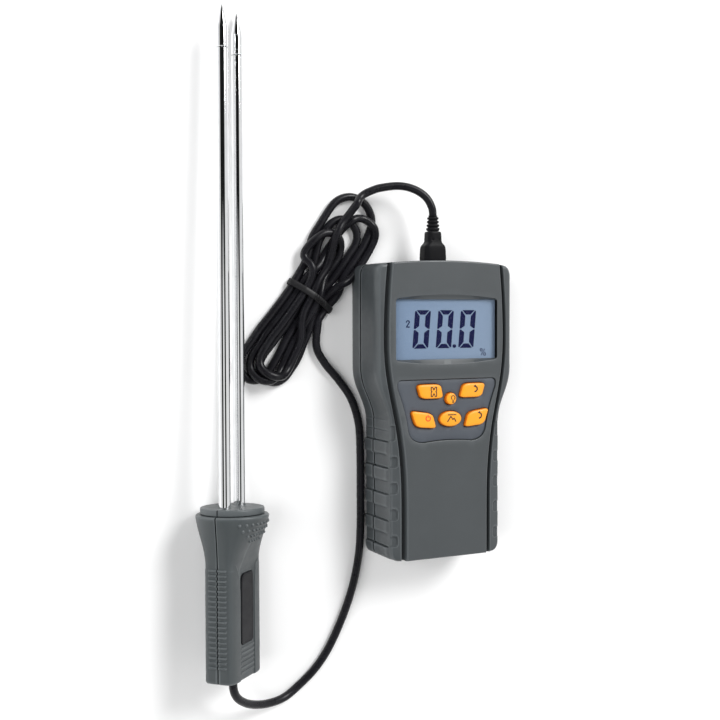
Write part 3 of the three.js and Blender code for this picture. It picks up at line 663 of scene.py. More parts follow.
def band_rise(y):
    """How far the grip bands stand proud of the flank at height y."""
    rise = 0.4 * (1 - ramp(y, 77.0, 78.0)) * ramp(y, 65.9, 66.4) - 0.3 * math.exp(-((y - 71.8) / 0.3) ** 2)
    for line in BAND_LINES:
        rise += 0.95 * float(ramp(y, line - 7.5, line - 6.6) * (1 - ramp(y, line - 0.15, line + 0.1)))
        rise -= 0.75 * math.exp(-((y - line - 0.35) / 0.28) ** 2)
    return float(rise)


def notch_depth(edge, y):
    """Depth of the rounded notches cut into the outer edge of the grip's front."""
    depth = 0.0
    for line in BAND_LINES:
        tall = 4.4 if line == BAND_LINES[-1] else 3.1
        wide = 3.0 if line == BAND_LINES[-1] else 4.3
        corner = 1.9
        dx = max(abs(edge) - wide + corner, 0)
        dy = max(abs(y - line - 0.5 - tall) - tall + corner, 0)
        reach = math.hypot(dx, dy) - corner
        depth = max(depth, 0.95 * float(ramp(-reach, -0.05, 0.3)))
    return depth


def end_drop(y, low_radius, high_radius):
    """How far a rounded edge has dropped near the lower or upper end."""
    drop = 0.0
    if y < low_radius:
        drop = low_radius - (low_radius ** 2 - (low_radius - y) ** 2) ** 0.5
    from_top = END_LINE - y
    if from_top < high_radius:
        drop = high_radius - (high_radius ** 2 - (high_radius - max(from_top, 0)) ** 2) ** 0.5
    return drop


def stations():
    """Heights of the cross-sections: close together at both ends and at the grip bands."""
    low = LOW_CORNER * (np.arange(22) / 22) ** 2
    high = END_LINE - HIGH_CORNER * (np.arange(26)[::-1] / 26) ** 2
    middle = np.arange(LOW_CORNER, END_LINE - HIGH_CORNER, 0.75)
    steps = [offset + line for line in BAND_LINES for offset in (-0.25, -0.05, 0.1, 0.25, 0.45, 0.65, 0.95)]
    marks = [71.2, 71.5, 71.8, 72.1, 72.4, 76.8, 77.1, 77.4, 77.7, 78.1]
    ends = [0.45, PLATE_ROUND, END_LINE - PLATE_ROUND, END_LINE - 0.45]
    every = np.concatenate([low, middle, high, steps, marks, ends])
    every = np.unique(np.round(every, 3))
    return every[(every >= 0) & (every <= END_LINE)]


HEIGHTS = stations()


def plate_crown(x):
    return PLATE_Z + 0.15 * (1 - (x / 36) ** 2)


def front_profile(y):
    """One side of the front shell's cross-section, from the seam over the wing to the plate."""
    half = float(case_half(y))
    head = float(ramp(y, 80, 110))
    edge_width = 1.3 + 1.3 * head
    edge_height = 1.9 + 2.4 * head
    edge_z = 32.9 + 0.5 * head
    plate = min(float(plate_half(y)), half - 0.8)
    groove = min(plate + GROOVE_WIDTH, half - 0.25)
    drop = end_drop(y, PLATE_ROUND, CASE_ROUND)
    proud = band_rise(y)
    points = [
        (half - 1.6, SEAM + SEAM_GAP),
        (half - 0.12 + proud, SEAM + SEAM_GAP),
        (half + proud, SEAM + SEAM_EDGE),
    ]
    flank_top = edge_z - edge_height
    for share in np.linspace(0.08, 1, 12):
        z = SEAM + SEAM_EDGE + (flank_top - SEAM - SEAM_EDGE) * share
        points.append((half + proud * float(1 - ramp(z, *BAND_FADE)), z))
    for share in np.linspace(0.12, 1, 9):
        angle = share * math.pi / 2
        x = half - edge_width * (1 - math.cos(angle))
        z = flank_top + edge_height * math.sin(angle)
        x += proud * float(1 - ramp(z, *BAND_FADE))
        points.append((x, z - notch_depth(half - x, y) * share - drop * share))
    start = max(half - edge_width, groove + 0.05)
    for share in np.linspace(0.07, 1, 15):
        x = start + (groove + 0.02 - start) * share
        z = edge_z + (WING_Z - edge_z) * share
        points.append((x, z - notch_depth(half - x, y) - drop))
    floor = GROOVE_Z - drop * 0.4
    wing = WING_Z - drop
    width = groove - plate
    for inwards, z in [(0.1, wing - 0.12), (0.3, wing - 0.5), (0.42, floor + 0.35), (0.7, floor + 0.02)]:
        points.append((groove - min(inwards, width * 0.3 * inwards / 0.7), z))
    points.append((plate + min(0.45, width * 0.3), floor))
    small = end_drop(y, PLATE_ROUND, PLATE_ROUND)
    top = plate_crown(plate) - small
    for inwards, z in [(-0.12, floor + 0.25), (-0.02, floor + 0.7), (0.06, top - 1.0), (0.16, top - 0.6),
                       (0.36, top - 0.26), (0.62, top - 0.07), (PLATE_BEVEL, top)]:
        points.append((plate - inwards, z))
    return points


WINDOW = (-31.9, 31.9, 110.5, 143.5)
WINDOW_FLOOR_Z = 33.2
KEYPAD_FLOOR_Z = 33.1


def window_loop(margin, bow, corner):
    """The display opening; its upper and lower edges bow outwards by bow."""
    x0, x1, y0, y1 = WINDOW
    x0, x1, y0, y1 = x0 - 0.3 * margin, x1 + 0.3 * margin, y0 - margin, y1 + margin
    pieces = [
        ([(x0 + corner, y0), (0, y0 - 2 * bow), (x1 - corner, y0)], 48),
        ([(x1 - corner, y0), (x1, y0), (x1, y0 + corner)], 10),
        ([(x1, y0 + corner), (x1, y1 - corner)], 24),
        ([(x1, y1 - corner), (x1, y1), (x1 - corner, y1)], 10),
        ([(x1 - corner, y1), (0, y1 + 2 * bow), (x0 + corner, y1)], 48),
        ([(x0 + corner, y1), (x0, y1), (x0, y1 - corner)], 10),
        ([(x0, y1 - corner), (x0, y0 + corner)], 24),
        ([(x0, y0 + corner), (x0, y0), (x0 + corner, y0)], 10),
    ]
    loop = []
    for knots, count in pieces:
        loop.extend(bend(knots, (np.arange(count) / count)[:, None]))
    return np.array(loop)


def keypad_loop(inset=0.0):
    moves = [
        [(0, 66.4), (15, 64.6)], [(24, 64.8), (25, 73)], [(26.2, 82), (31, 94)], [(32.6, 99.6), (28.5, 99.6)],
        [(-28.5, 99.6)], [(-32.6, 99.6), (-31, 94)], [(-26.2, 82), (-25, 73)], [(-24, 64.8), (-15, 64.6)],
    ]
    return grown(trace((-15, 64.6), moves, 0.7), -inset)


def rim(skin, outline, top, radius, bottom, ledge=0.0):
    """A rounded edge round a hole, its wall down to bottom, and a ledge inwards."""
    rows = []
    for share in np.linspace(0, 1, 5):
        angle = share * math.pi / 2
        loop = grown(outline, radius * (1 - math.sin(angle)))
        rows.append(lift(loop, top(loop[:, 0]) - radius * (1 - math.cos(angle))))
    rows.append(lift(outline, bottom))
    if ledge:
        rows.append(lift(grown(outline, -ledge), bottom))
    skin.grid(rows, closed=True)
    return grown(outline, radius)


def shade_window_wall(piece):
    """Painted shade on the side walls down to the display, which lie in deep shade."""
    x0, x1, y0, y1 = WINDOW

    def deep(spot, normal):
        within = x0 - 1 < spot.x < x1 + 1 and y0 - 2.5 < spot.y < y1 + 2.5
        return within and WINDOW_FLOOR_Z < spot.z < 34.6 and abs(normal.x) > 0.75

    shade_faces(piece, METER, deep)


SOCKET_HALF = 8.45
SOCKET_TOP = 22.0
WALL = 1.2
WALL_ROUND = 0.4


def make_socket_wall(skin, row):
    """The top wall from its upper edge to the seam, with the socket's opening and the edge round it."""
    middle = np.abs(row[:, 0]) < SOCKET_HALF + 0.01
    foot = row.copy()
    foot[:, 2] = np.where(middle, SOCKET_TOP, SEAM + SEAM_GAP)
    skin.grid([row, row - (0, 0, WALL_ROUND), foot])
    edge = foot[middle]
    ends = edge[[0, -1]]
    ends[:, 2] = SEAM + SEAM_GAP
    edge = np.vstack([ends[:1], edge, ends[1:]])
    skin.grid([edge, edge - (0, WALL, 0)])


def make_front_case():
    skin = Skin()
    profiles = np.array([front_profile(y) for y in HEIGHTS])
    heights = np.repeat(HEIGHTS[:, None], profiles.shape[1], 1)
    for side in (-1, 1):
        rows = np.stack([side * profiles[..., 0], heights, profiles[..., 1]], -1)
        rows = arched(rows)
        skin.grid(rows, flip=side > 0)
        for row in (rows[0], rows[-1]):
            foot = row.copy()
            foot[:, 2] = SEAM + SEAM_GAP
            skin.grid([row[2:], foot[2:]])
    inner = profiles[:, -1, :]
    mouth = SOCKET_HALF / inner[-1, 0]
    mouth_edges = [-mouth - 0.001, -mouth, mouth, mouth + 0.001]
    share = np.unique(np.concatenate([np.linspace(-1, 1, 61), mouth_edges]))
    sheet = np.stack([
        np.outer(inner[:, 0], share),
        np.repeat(HEIGHTS[:, None], len(share), 1),
        np.zeros((len(HEIGHTS), len(share))),
    ], -1)
    drops = np.array([end_drop(y, PLATE_ROUND, PLATE_ROUND) for y in HEIGHTS])
    edge = np.array([plate_crown(x) for x in inner[:, 0]])
    sheet[..., 2] = plate_crown(sheet[..., 0]) - drops[:, None] + (inner[:, 1] + drops - edge)[:, None]
    sheet = arched(sheet)
    low = int(np.argmax(HEIGHTS >= PLATE_ROUND - 1e-6))
    high = int(np.argmax(HEIGHTS >= END_LINE - PLATE_ROUND - 1e-6))
    skin.grid(sheet[:low + 1])
    skin.grid(sheet[high:])
    foot = sheet[0].copy()
    foot[:, 2] = SEAM + SEAM_GAP
    skin.grid([sheet[0], sheet[0] - (0, 0, WALL_ROUND), foot])
    make_socket_wall(skin, sheet[-1])
    left = sheet[low + 1:high, 0, :2]
    right = sheet[low + 1:high, -1, :2]
    outer = np.vstack([sheet[low, :, :2], right, sheet[high, ::-1, :2], left[::-1]])
    window = window_loop(0.7, 1.9, 2.4)
    window_edge = grown(window, 0.3)
    rows = []
    for turn in np.linspace(0, 1, 5):
        angle = turn * math.pi / 2 * 0.8
        loop = grown(window, 0.3 * (1 - math.sin(angle)))
        rows.append(lift(loop, plate_crown(loop[:, 0]) - 0.3 * (1 - math.cos(angle))))
    shelf = window_loop(0.1, 0.0, 1.7)
    rows.append(lift(shelf, 33.45))
    rows.append(lift(window_loop(0.0, 0.0, 1.6), WINDOW_FLOOR_Z))
    skin.grid(rows, closed=True)
    keypad_edge = rim(skin, keypad_loop(), plate_crown, 0.3, KEYPAD_FLOOR_Z, ledge=2.2)
    skin.region(outer, [window_edge, keypad_edge], lambda x, y: plate_crown(x), step=2.2)
    piece = shaped("front_shell", skin, METER, CASE, "case", ("front_case",), sharp=25)
    shade_window_wall(piece)
    return piece


BACK_POINTS = 9


def rear_profile(y):
    """One side of the rear shell's cross-section, from the middle of the back up to the seam."""
    half = float(case_half(y))
    proud = band_rise(y)
    bottom = end_drop(y, CASE_ROUND, CASE_ROUND)
    radius = 3.0
    points = [(share * (half - radius), bottom) for share in np.linspace(0, 1, BACK_POINTS)]
    for share in np.linspace(0.14, 1, 7):
        angle = share * math.pi / 2
        x = half - radius + radius * math.sin(angle)
        z = bottom + (radius - bottom) * (1 - math.cos(angle))
        points.append((x + proud * float(ramp(z, 1.6, 3.2)), z))
    for z in np.linspace(radius, SEAM - SEAM_EDGE, 8)[1:]:
        points.append((half + proud, z))
    points += [(half + proud - 0.12, SEAM - SEAM_GAP), (half - 1.6, SEAM - SEAM_GAP)]
    points += [(x, SEAM - SEAM_GAP) for x, _ in points[BACK_POINTS - 1::-1]]
    return points


def close_end(skin, row):
    """One half of the rear shell's end wall: the bowed middle as a grid, the flat corner as one face."""
    foot = row[:BACK_POINTS]
    top = row[:-BACK_POINTS - 1:-1]
    rows = [foot * (1 - share) + top * share for share in np.linspace(0, 1, 7)]
    skin.grid(rows)
    column = [level[-1] for level in rows[-2:0:-1]]
    skin.fan(np.vstack([row[BACK_POINTS - 1:1 - BACK_POINTS], column]))


def cutter_from(name, work):
    mesh = bpy.data.meshes.new(name)
    work.to_mesh(mesh)
    work.free()
    return new_object(name, mesh)


def box_cutter(name, x0, x1, y0, y1, z0, z1):
    work = bmesh.new()
    bmesh.ops.create_cube(work, size=1)
    for vert in work.verts:
        spot = (x0 if vert.co.x < 0 else x1, y0 if vert.co.y < 0 else y1, z0 if vert.co.z < 0 else z1)
        vert.co = (METER @ Vector(spot)) * MM
    return cutter_from(name, work)


def bore_cutter(name, x, y, radius, low, high):
    work = bmesh.new()
    bmesh.ops.create_cone(work, cap_ends=True, segments=28, radius1=radius * MM, radius2=radius * MM,
                          depth=(high - low) * MM)
    bmesh.ops.translate(work, verts=work.verts, vec=(METER @ Vector((x, y, (low + high) / 2))) * MM)
    return cutter_from(name, work)


def carve(piece, cutters):
    """Cut the cutters out of the piece, apply the result and throw the cutters away."""
    for cutter in cutters:
        cut = piece.modifiers.new("cut", "BOOLEAN")
        cut.operation = "DIFFERENCE"
        cut.solver = "EXACT"
        cut.object = cutter
    ready = piece.evaluated_get(bpy.context.evaluated_depsgraph_get())
    mesh = bpy.data.meshes.new_from_object(ready)
    piece.modifiers.clear()
    piece.data = mesh
    for cutter in cutters:
        bpy.data.objects.remove(cutter)
    work = bmesh.new()
    work.from_mesh(mesh)
    soften(work, 38)
    work.to_mesh(mesh)
    work.free()


DOOR_HALF = 24.3
DOOR_END = 70.3
DOOR_TOP = 2.3
CASE_SCREWS = [(-35, 151), (35, 151), (-28, 16), (28, 16)]


def make_rear_case():
    skin = Skin()
    profiles = np.array([rear_profile(y) for y in HEIGHTS])
    heights = np.repeat(HEIGHTS[:, None], profiles.shape[1], 1)
    for side in (-1, 1):
        rows = arched(np.stack([side * profiles[..., 0], heights, profiles[..., 1]], -1))
        skin.grid(rows, flip=side < 0)
        close_end(skin, rows[0])
        close_end(skin, rows[-1])
    piece = shaped("rear_shell", skin, METER, CASE, "case", ("rear_case",), sharp=38)
    # painted shade on the floor of the joint between the shells
    shade_joint(piece, METER, SEAM - SEAM_GAP)
    cutters = [
        box_cutter("door_way", -DOOR_HALF, DOOR_HALF, -2, DOOR_END, -1, DOOR_TOP),
        box_cutter("door_rails", -25.5, 25.5, -2, DOOR_END, 0.8, DOOR_TOP),
        box_cutter("battery_bay", -22.4, 22.4, 12, 62, -1, 13.4),
    ]
    cutters += [bore_cutter(f"screw_bore_{k}", x, y, 3.1, -1, 6) for k, (x, y) in enumerate(CASE_SCREWS)]
    carve(piece, cutters)
    return piece


make_front_case()
make_rear_case()


# ---------------------------------------------------------------- keypad
PANEL_Z = 34.2
PANEL_FOOT_Z = 33.4


def cushion(corners):
    """A four-cornered key with generously rounded corners, counter-clockwise."""
    bend = 0.3
    moves = []
    spots = [np.array(corner, float) for corner in corners[::-1]]
    for index, corner in enumerate(spots):
        before, after = spots[index - 1], spots[(index + 1) % 4]
        moves.append([corner + (before - corner) * bend])
        moves.append([corner, corner + (after - corner) * bend])
    return grown(trace(moves[-1][-1], moves, 0.45), -0.5)


KEYS = {
    "hold": cushion([(-20.4, 97.4), (-4.4, 97.4), (-2.6, 88.4), (-17.6, 88.4)]),
    "up": cushion([(9.2, 97.4), (24.6, 97.4), (21.8, 88.4), (6.4, 88.4)]),
    "light": ellipse(1.7, 88.6, 3.3, 3.3, 60),
    "power": cushion([(-24.2, 83.4), (-9.6, 81.2), (-6.8, 71.8), (-20.6, 73)]),
    "peak": ellipse(1.4, 77.4, 6.9, 4.3, 80),
    "down": cushion([(12.4, 81.2), (27, 83.4), (23.4, 73), (9.6, 71.8)]),
}
KEY_FOOT_Z = 29.0
KEY_EDGE_Z = 35.3
KEY_TOP_Z = 36.35


def key_height(outline, points):
    """Height of a key's domed top above each point."""
    middle = outline.mean(0)
    away = outline - middle
    angle = np.arctan2(away[:, 1], away[:, 0])
    order = np.argsort(angle)
    angle, reach = angle[order], np.linalg.norm(away, axis=1)[order]
    angle = np.concatenate([angle - TAU, angle, angle + TAU])
    spot = np.asarray(points, float) - middle
    edge = np.interp(np.arctan2(spot[:, 1], spot[:, 0]), angle, np.tile(reach, 3))
    share = np.clip(np.linalg.norm(spot, axis=1) / edge, 0, 1)
    return KEY_EDGE_Z + (KEY_TOP_Z - KEY_EDGE_Z) * (1 - share ** 7) ** 0.5


def make_key(name, outline):
    skin = Skin()
    middle = outline.mean(0)
    rows = [lift(grown(outline, -0.4), KEY_FOOT_Z)]
    rows += [lift(outline, z) for z in (KEY_FOOT_Z + 0.4, 31.5, KEY_EDGE_Z)]
    for share in [0.998, 0.992, 0.983, 0.97, 0.952, 0.93, 0.9, 0.86, 0.8, 0.7, 0.55, 0.35, 0.15]:
        ring = middle + (outline - middle) * share
        rows.append(lift(ring, key_height(outline, ring)))
    skin.grid(rows, closed=True)
    skin.fan(rows[-1])
    skin.fan(rows[0], flip=True)
    shaped(f"key_{name}", skin, METER, ORANGE, f"key_{name}", (f"button_{name}",),
           sharp=50)


def make_panel():
    skin = Skin()
    outline = keypad_loop(0.35)
    top = grown(outline, -0.3)
    rows = [lift(outline, PANEL_FOOT_Z), lift(outline, PANEL_Z - 0.25),
            lift(grown(outline, -0.08), PANEL_Z - 0.08), lift(top, PANEL_Z)]
    skin.grid(rows, closed=True)
    holes = []
    for key in KEYS.values():
        edge = grown(key, 0.6)
        inner = grown(key, 0.35)
        skin.grid([lift(edge, PANEL_Z), lift(grown(key, 0.42), PANEL_Z - 0.08), lift(inner, PANEL_Z - 0.25),
                   lift(inner, PANEL_FOOT_Z)], closed=True)
        holes.append(edge)
    skin.region(top, holes, PANEL_Z, step=2.5)
    gaps = [grown(key, 0.35) for key in KEYS.values()]
    skin.region(outline, gaps, PANEL_FOOT_Z, step=4, flip=True)
    return shaped("keypad_plate", skin, METER, PANEL, "case", ("keypad_panel",), sharp=40)


# ---------------------------------------------------------------- printed marks
def stroke(points, width):
    """The outline of a pen line through the points."""
    points = np.asarray(points, float)
    along = np.gradient(points, axis=0)
    along /= np.linalg.norm(along, axis=1)[:, None]
    side = np.stack([-along[:, 1], along[:, 0]], 1) * width / 2
    return np.vstack([points - side, (points + side)[::-1]])


def arc(x, y, radius, start, end, count=20):
    angle = np.radians(np.linspace(start, end, count))
    return np.stack([x + radius * np.cos(angle), y + radius * np.sin(angle)], 1)


def ink(skin, outline, height, thickness=0.06, step=0.7):
    """A printed patch that follows the surface under it."""
    area = np.sum(outline[:, 0] * np.roll(outline[:, 1], -1) - np.roll(outline[:, 0], -1) * outline[:, 1])
    if area < 0:
        outline = outline[::-1]
    skin.region(outline, [], lambda x, y: height(np.stack([x, y], 1)) + thickness, step=step)
    base = height(outline)
    skin.grid([lift(outline, base - 0.1), lift(outline, base + thickness)], closed=True)


def hold_mark(x, y):
    left = [(x - 0.5, y + 2.5), (x - 1.7, y + 2.5), (x - 1.7, y + 0.5), (x - 1.2, y), (x - 1.7, y - 0.5),
            (x - 1.7, y - 2.5), (x - 0.5, y - 2.5)]
    right = [(2 * x - a, b) for a, b in left]
    dense = lambda path: even_run(np.array(path), 0.3)
    marks = [stroke(dense(left), 0.6), stroke(dense(right), 0.6)]
    marks.append(np.array([(x - 0.9, y + 2.0), (x, y + 0.5), (x + 0.9, y + 2.0)]))
    marks.append(np.array([(x - 0.9, y - 2.0), (x + 0.9, y - 2.0), (x, y - 0.5)]))
    return marks


def turn_mark(x, y, lean):
    """A curved arrow."""
    bow = arc(x, y, 1.5, -100, 75, 22)
    tip = bow[-1]
    head = np.array([tip + (-1.5, 0.1), tip + (0.25, 0.95), tip + (0.35, -0.75)])
    return [stroke(bow, 0.8), head if lean > 0 else head + (0, 0.1)]


def power_mark(x, y):
    return [stroke(arc(x, y, 1.35, 118, 422, 34), 0.55), stroke([(x, y + 0.4), (x, y + 2.1)], 0.55)]


def light_mark(x, y):
    bulb = stroke(arc(x, y + 0.6, 1.15, -55, 235, 28), 0.5)
    levels = [y - 0.75 - drop for drop in (0, 0.6, 1.2)]
    return [bulb] + [stroke([(x - 0.55, level), (x + 0.55, level)], 0.42) for level in levels]


def peak_mark(x, y):
    peak = even_run(np.array([(x - 3.2, y - 1.6), (x - 1.1, y + 1.5), (x + 0.2, y - 0.4), (x + 1.0, y + 0.4),
                              (x + 2.2, y - 1.6)]), 0.3)
    return [stroke(peak, 0.6), stroke(np.array([(x - 3.0, y + 2.3), (x + 2.4, y + 2.3)]), 0.55)]


def make_key_marks():
    brown, _ = base_material("key_print_look", (0.055, 0.020, 0.012), 0.5)
    red, _ = base_material("power_print_look", (0.80, 0.035, 0.012), 0.5)
    plans = [
        ("hold", hold_mark(-9.6, 92.8), brown), ("up", turn_mark(16.6, 93.6, 1), brown),
        ("light", light_mark(2.6, 88.5), brown), ("power", power_mark(-13.2, 78.2), red),
        ("peak", peak_mark(2.2, 77.4), brown), ("down", turn_mark(19.4, 78.6, -1), brown),
    ]
    for name, marks, material in plans:
        skin = Skin()
        for mark in marks:
            ink(skin, mark, lambda points, key=KEYS[name]: key_height(key, points))
        shaped(f"mark_{name}", skin, METER, material, f"key_{name}", sharp=60)


# ---------------------------------------------------------------- display
GLASS_TOP = 31.9


def display_material():
    material, shader = base_material("display_look", (0.24, 0.33, 0.46), 0.3, specular=0.2)
    tree = material.node_tree
    spot = tree.nodes.new("ShaderNodeTexCoord")
    parts = tree.nodes.new("ShaderNodeSeparateXYZ")
    tree.links.new(spot.outputs["Object"], parts.inputs["Vector"])
    # painted light: the display's tint grows lighter from its left side to its right side
    painted_light_gradient = spread(tree, parts.outputs["X"], 0, 1, -0.035, 0.035)
    tint = blend_colors(tree, painted_light_gradient, (0.184, 0.262, 0.382), (0.225, 0.30, 0.41))
    fine = blend_colors(tree, spread(tree, noise(tree, 900, 2), 0, 1), (0.96, 0.96, 0.97), (1, 1, 1))
    tree.links.new(blend_colors(tree, 1, tint, fine, "MULTIPLY"), shader.inputs["Base Color"])
    return material


def slant(points, base_y=116.5):
    points = np.asarray(points, float)
    return np.stack([points[:, 0] + (points[:, 1] - base_y) * 0.085, points[:, 1]], 1)


def digit_zero(x):
    """The six lit bars of a slanted seven-segment nought, mitred where they meet."""
    low, high = 116.5, 137.6
    wide, bar, air = 9.8, 3.1, 0.24
    middle = (low + high) / 2
    left, right = x, x + wide
    tip = bar * 0.5
    bars = []
    for end, way in ((low, 1), (high, -1)):
        for x_out, x_in in ((left, left + bar), (right, right - bar)):
            bars.append([
                (x_out, end + way * (0.5 + air)),
                (x_out, middle - way * air * 1.6),
                (x_out + (x_in - x_out) * 0.28, middle - way * air),
                (x_in, middle - way * (tip + air)),
                (x_in, end + way * (bar + air)),
                (x_out + (x_in - x_out) * 0.2, end + way * 0.32),
            ])
    for edge, way in ((low, 1), (high, -1)):
        inner = edge + way * bar * 0.78
        bars.append([(left + 0.75 + air, edge), (right - 0.75 - air, edge), (right - bar - air, inner),
                     (left + bar + air, inner)])
    return [slant(bar_shape) for bar_shape in bars]


def make_display():
    skin = Skin()
    outline = round_rect(-32.5, 32.5, 108.0, 146.5, 0.8)
    rows = [lift(grown(outline, -0.15), 30.1), lift(outline, 30.25), lift(outline, GLASS_TOP - 0.15),
            lift(grown(outline, -0.15), GLASS_TOP)]
    skin.grid(rows, closed=True)
    skin.fan(rows[0], flip=True)
    skin.fan(rows[-1])
    shaped("display_panel", skin, METER, display_material(), "case",
           ("display_glass",), sharp=40)

    print_skin = Skin()
    flat = lambda points: np.full(len(points), GLASS_TOP)
    for x in (-20.6, -6.0, 8.4):
        for bar in digit_zero(x):
            ink(print_skin, bar, flat, 0.08, step=3)
    marks = [ellipse(5.9, 117.6, 1.15, 1.0, 24)]
    two = [(-24.4, 130.9), (-23.9, 131.8), (-22.8, 131.8), (-22.4, 131.0), (-24.3, 128.4), (-22.2, 128.4)]
    marks.append(stroke(even_run(np.array(two), 0.3), 0.6))
    marks += [stroke(arc(x, y, 0.72, 0, 350, 20), 0.4) for x, y in ((23.4, 115.2), (25.6, 112.8))]
    marks.append(stroke([(23.2, 112.2), (25.8, 115.8)], 0.36))
    for mark in marks:
        ink(print_skin, mark, flat, 0.08, step=3)
    digits, _ = base_material("segments_look", (0.008, 0.010, 0.050), 0.45, specular=0.05)
    shaped("display_segments", print_skin, METER, digits, "case", sharp=40)

    window = bpy.data.objects["display_window"]
    lens, shader = base_material("window_look", (0.02, 0.02, 0.025), 0.04)
    shader.inputs["Alpha"].default_value = 0.035
    lens.surface_render_method = "BLENDED"
    window.data.materials.clear()
    window.data.materials.append(lens)


for key_name, key_outline in KEYS.items():
    make_key(key_name, key_outline)
make_panel()
make_key_marks()
make_display()


# ---------------------------------------------------------------- turned pieces
def turned(profile, sides=48, x=0.0, z=0.0):
    """A body turned about the y axis from (radius, y) pairs; zero radius closes an end."""
    angle = np.arange(sides) / sides * TAU
    rows = []
    for radius, y in profile:
        rows.append(np.stack([x + radius * np.cos(angle), np.full(sides, y), z + radius * np.sin(angle)], 1))
    skin = Skin()
    if profile[0][0] == 0:
        skin.fan(rows[1])
        rows = rows[1:]
    if profile[-1][0] == 0:
        skin.fan(rows[-2], flip=True)
        rows = rows[:-1]
    skin.grid(rows, closed=True)
    return skin


# ---------------------------------------------------------------- plug
PLUG_START = END_LINE + 1.9
PLUG_Z = 18.0


def loft_section(half_width, half_depth, squareness, y, count=72):
    angle = (np.arange(count) + 0.5) / count * TAU
    power = 2 / squareness
    x = half_width * np.sign(np.cos(angle)) * np.abs(np.cos(angle)) ** power
    z = half_depth * np.sign(np.sin(angle)) * np.abs(np.sin(angle)) ** power
    return np.stack([x, np.full(count, y), z + PLUG_Z], 1)


def make_plug():
    skin = Skin()
    # how far from its start, half width, half depth and squareness
    stages = [
        (0.0, 6.2, 4.0, 5), (0.15, 6.7, 4.45, 5), (0.6, 6.95, 4.7, 5), (1.2, 7.0, 4.75, 5),
        (4.5, 6.85, 4.7, 5), (7.2, 6.65, 4.62, 5), (8.2, 6.45, 4.55, 5), (8.6, 6.2, 4.5, 5),
        (9.6, 5.3, 4.3, 4.6), (10.5, 4.6, 4.15, 4.2), (11.0, 4.42, 4.1, 4), (11.6, 4.35, 4.05, 4),
        (14.5, 4.2, 3.95, 4), (15.8, 4.12, 3.9, 4), (16.3, 3.95, 3.75, 4), (16.6, 3.5, 3.4, 4),
    ]
    fine = []
    for (y0, *a), (y1, *b) in zip(stages, stages[1:]):
        for share in np.linspace(0, 1, 5)[:-1]:
            fine.append((y0 + (y1 - y0) * share, *[p + (q - p) * share for p, q in zip(a, b)]))
    fine.append(stages[-1])
    rows = []
    for y, half_width, half_depth, squareness in fine:
        row = loft_section(half_width, half_depth, squareness, PLUG_START + y)
        for dent in (-2.2, 2.2):
            reach = np.hypot(row[:, 0] - dent, row[:, 1] - PLUG_START - 11.9)
            row[:, 2] -= 0.5 * np.clip(1 - (reach / 0.7) ** 2, 0, 1) * (row[:, 2] > PLUG_Z)
        groove = 0.16 * np.exp(-((row[:, 2] - PLUG_Z) / 0.25) ** 2)
        row[:, 0] -= np.sign(row[:, 0]) * groove
        rows.append(row)
    skin.body(rows)
    body = shaped("plug_overmould", skin, METER, PLUG, "plug", ("plug_body",), sharp=40)

    start = END_LINE + 18.8
    profile = [(0, start), (3.2, start), (3.5, start + 0.3)]
    for ring in range(4):
        base = start + 0.6 + ring * 2
        wide = 3.75 - ring * 0.17
        profile += [(wide - 0.15, base), (wide, base + 0.25), (wide, base + 0.9), (wide - 0.2, base + 1.15),
                    (wide - 0.85, base + 1.35), (wide - 0.85, base + 1.75)]
    profile += [(2.9, start + 8.6), (2.5, start + 8.75), (0, start + 8.75)]
    relief = shaped("plug_relief", turned(profile, 40, z=PLUG_Z), METER, PLUG, "plug",
                    ("plug_strain_relief",), sharp=40)
    return [body, relief, bpy.data.objects["plug_nose"]]


# ---------------------------------------------------------------- tie round the hank
def make_tie(lines):
    low, high = TIE_ALONG - 1.7, TIE_ALONG + 1.7
    spots = []
    for line in lines:
        along = (line[:, :2] - HANK_LOW) @ HANK_ALONG
        across = (line[:, :2] - HANK_LOW) @ HANK_RIGHT
        near = (along > low - 1) & (along < high + 1)
        spots.append(np.stack([across[near], line[near, 2]], 1))
    spots = np.vstack(spots)
    angles = np.linspace(0, TAU, 97)[:-1]
    rows = []
    section = [(0.12, -1.7), (0.12, 1.7), (0.8, 1.7), (1.0, 1.4), (1.05, 0), (1.0, -1.4), (0.8, -1.7)]
    for angle in angles:
        normal = np.array([math.cos(angle), math.sin(angle)])
        hold = spots[np.argmax(spots @ normal)]
        row = []
        for reach, offset in section:
            spot = hold + normal * (CORD_RADIUS + reach)
            row.append(hank_spot(TIE_ALONG + offset, spot[0], max(spot[1], 0.05 + 0.1 * (reach < 0.5))))
        rows.append(row)
    rows.append(rows[0])
    skin = Skin()
    skin.grid(rows, closed=True)
    top = spots[np.argmax(spots[:, 1])]
    for phase in (0, math.pi):
        turns = []
        for share in np.linspace(0, 1, 60):
            swirl = phase + share * 5 * TAU / 2
            across = top[0] + 1.5 + share * 7.0
            up = top[1] + CORD_RADIUS + 1.9 - 1.4 * share
            turns.append(hank_spot(TIE_ALONG + 0.75 * math.cos(swirl), across, up + 0.75 * math.sin(swirl)))
        skin.merge(tube(np.array(turns), 0.55, 8))
    shaped("hank_tie", skin, WHOLE, TIE, "case", ("cord_tie",), sharp=45)


# ---------------------------------------------------------------- probe handle
HANDLE_LENGTH = 85.2
JOINT_GAP = 0.3
INNER_GAP = 0.15
GRIP_WIDTH = 34.0
GRIP_DEPTH = 17.6
RING_RADIUS = 19.2
FLARE_START = 58.0
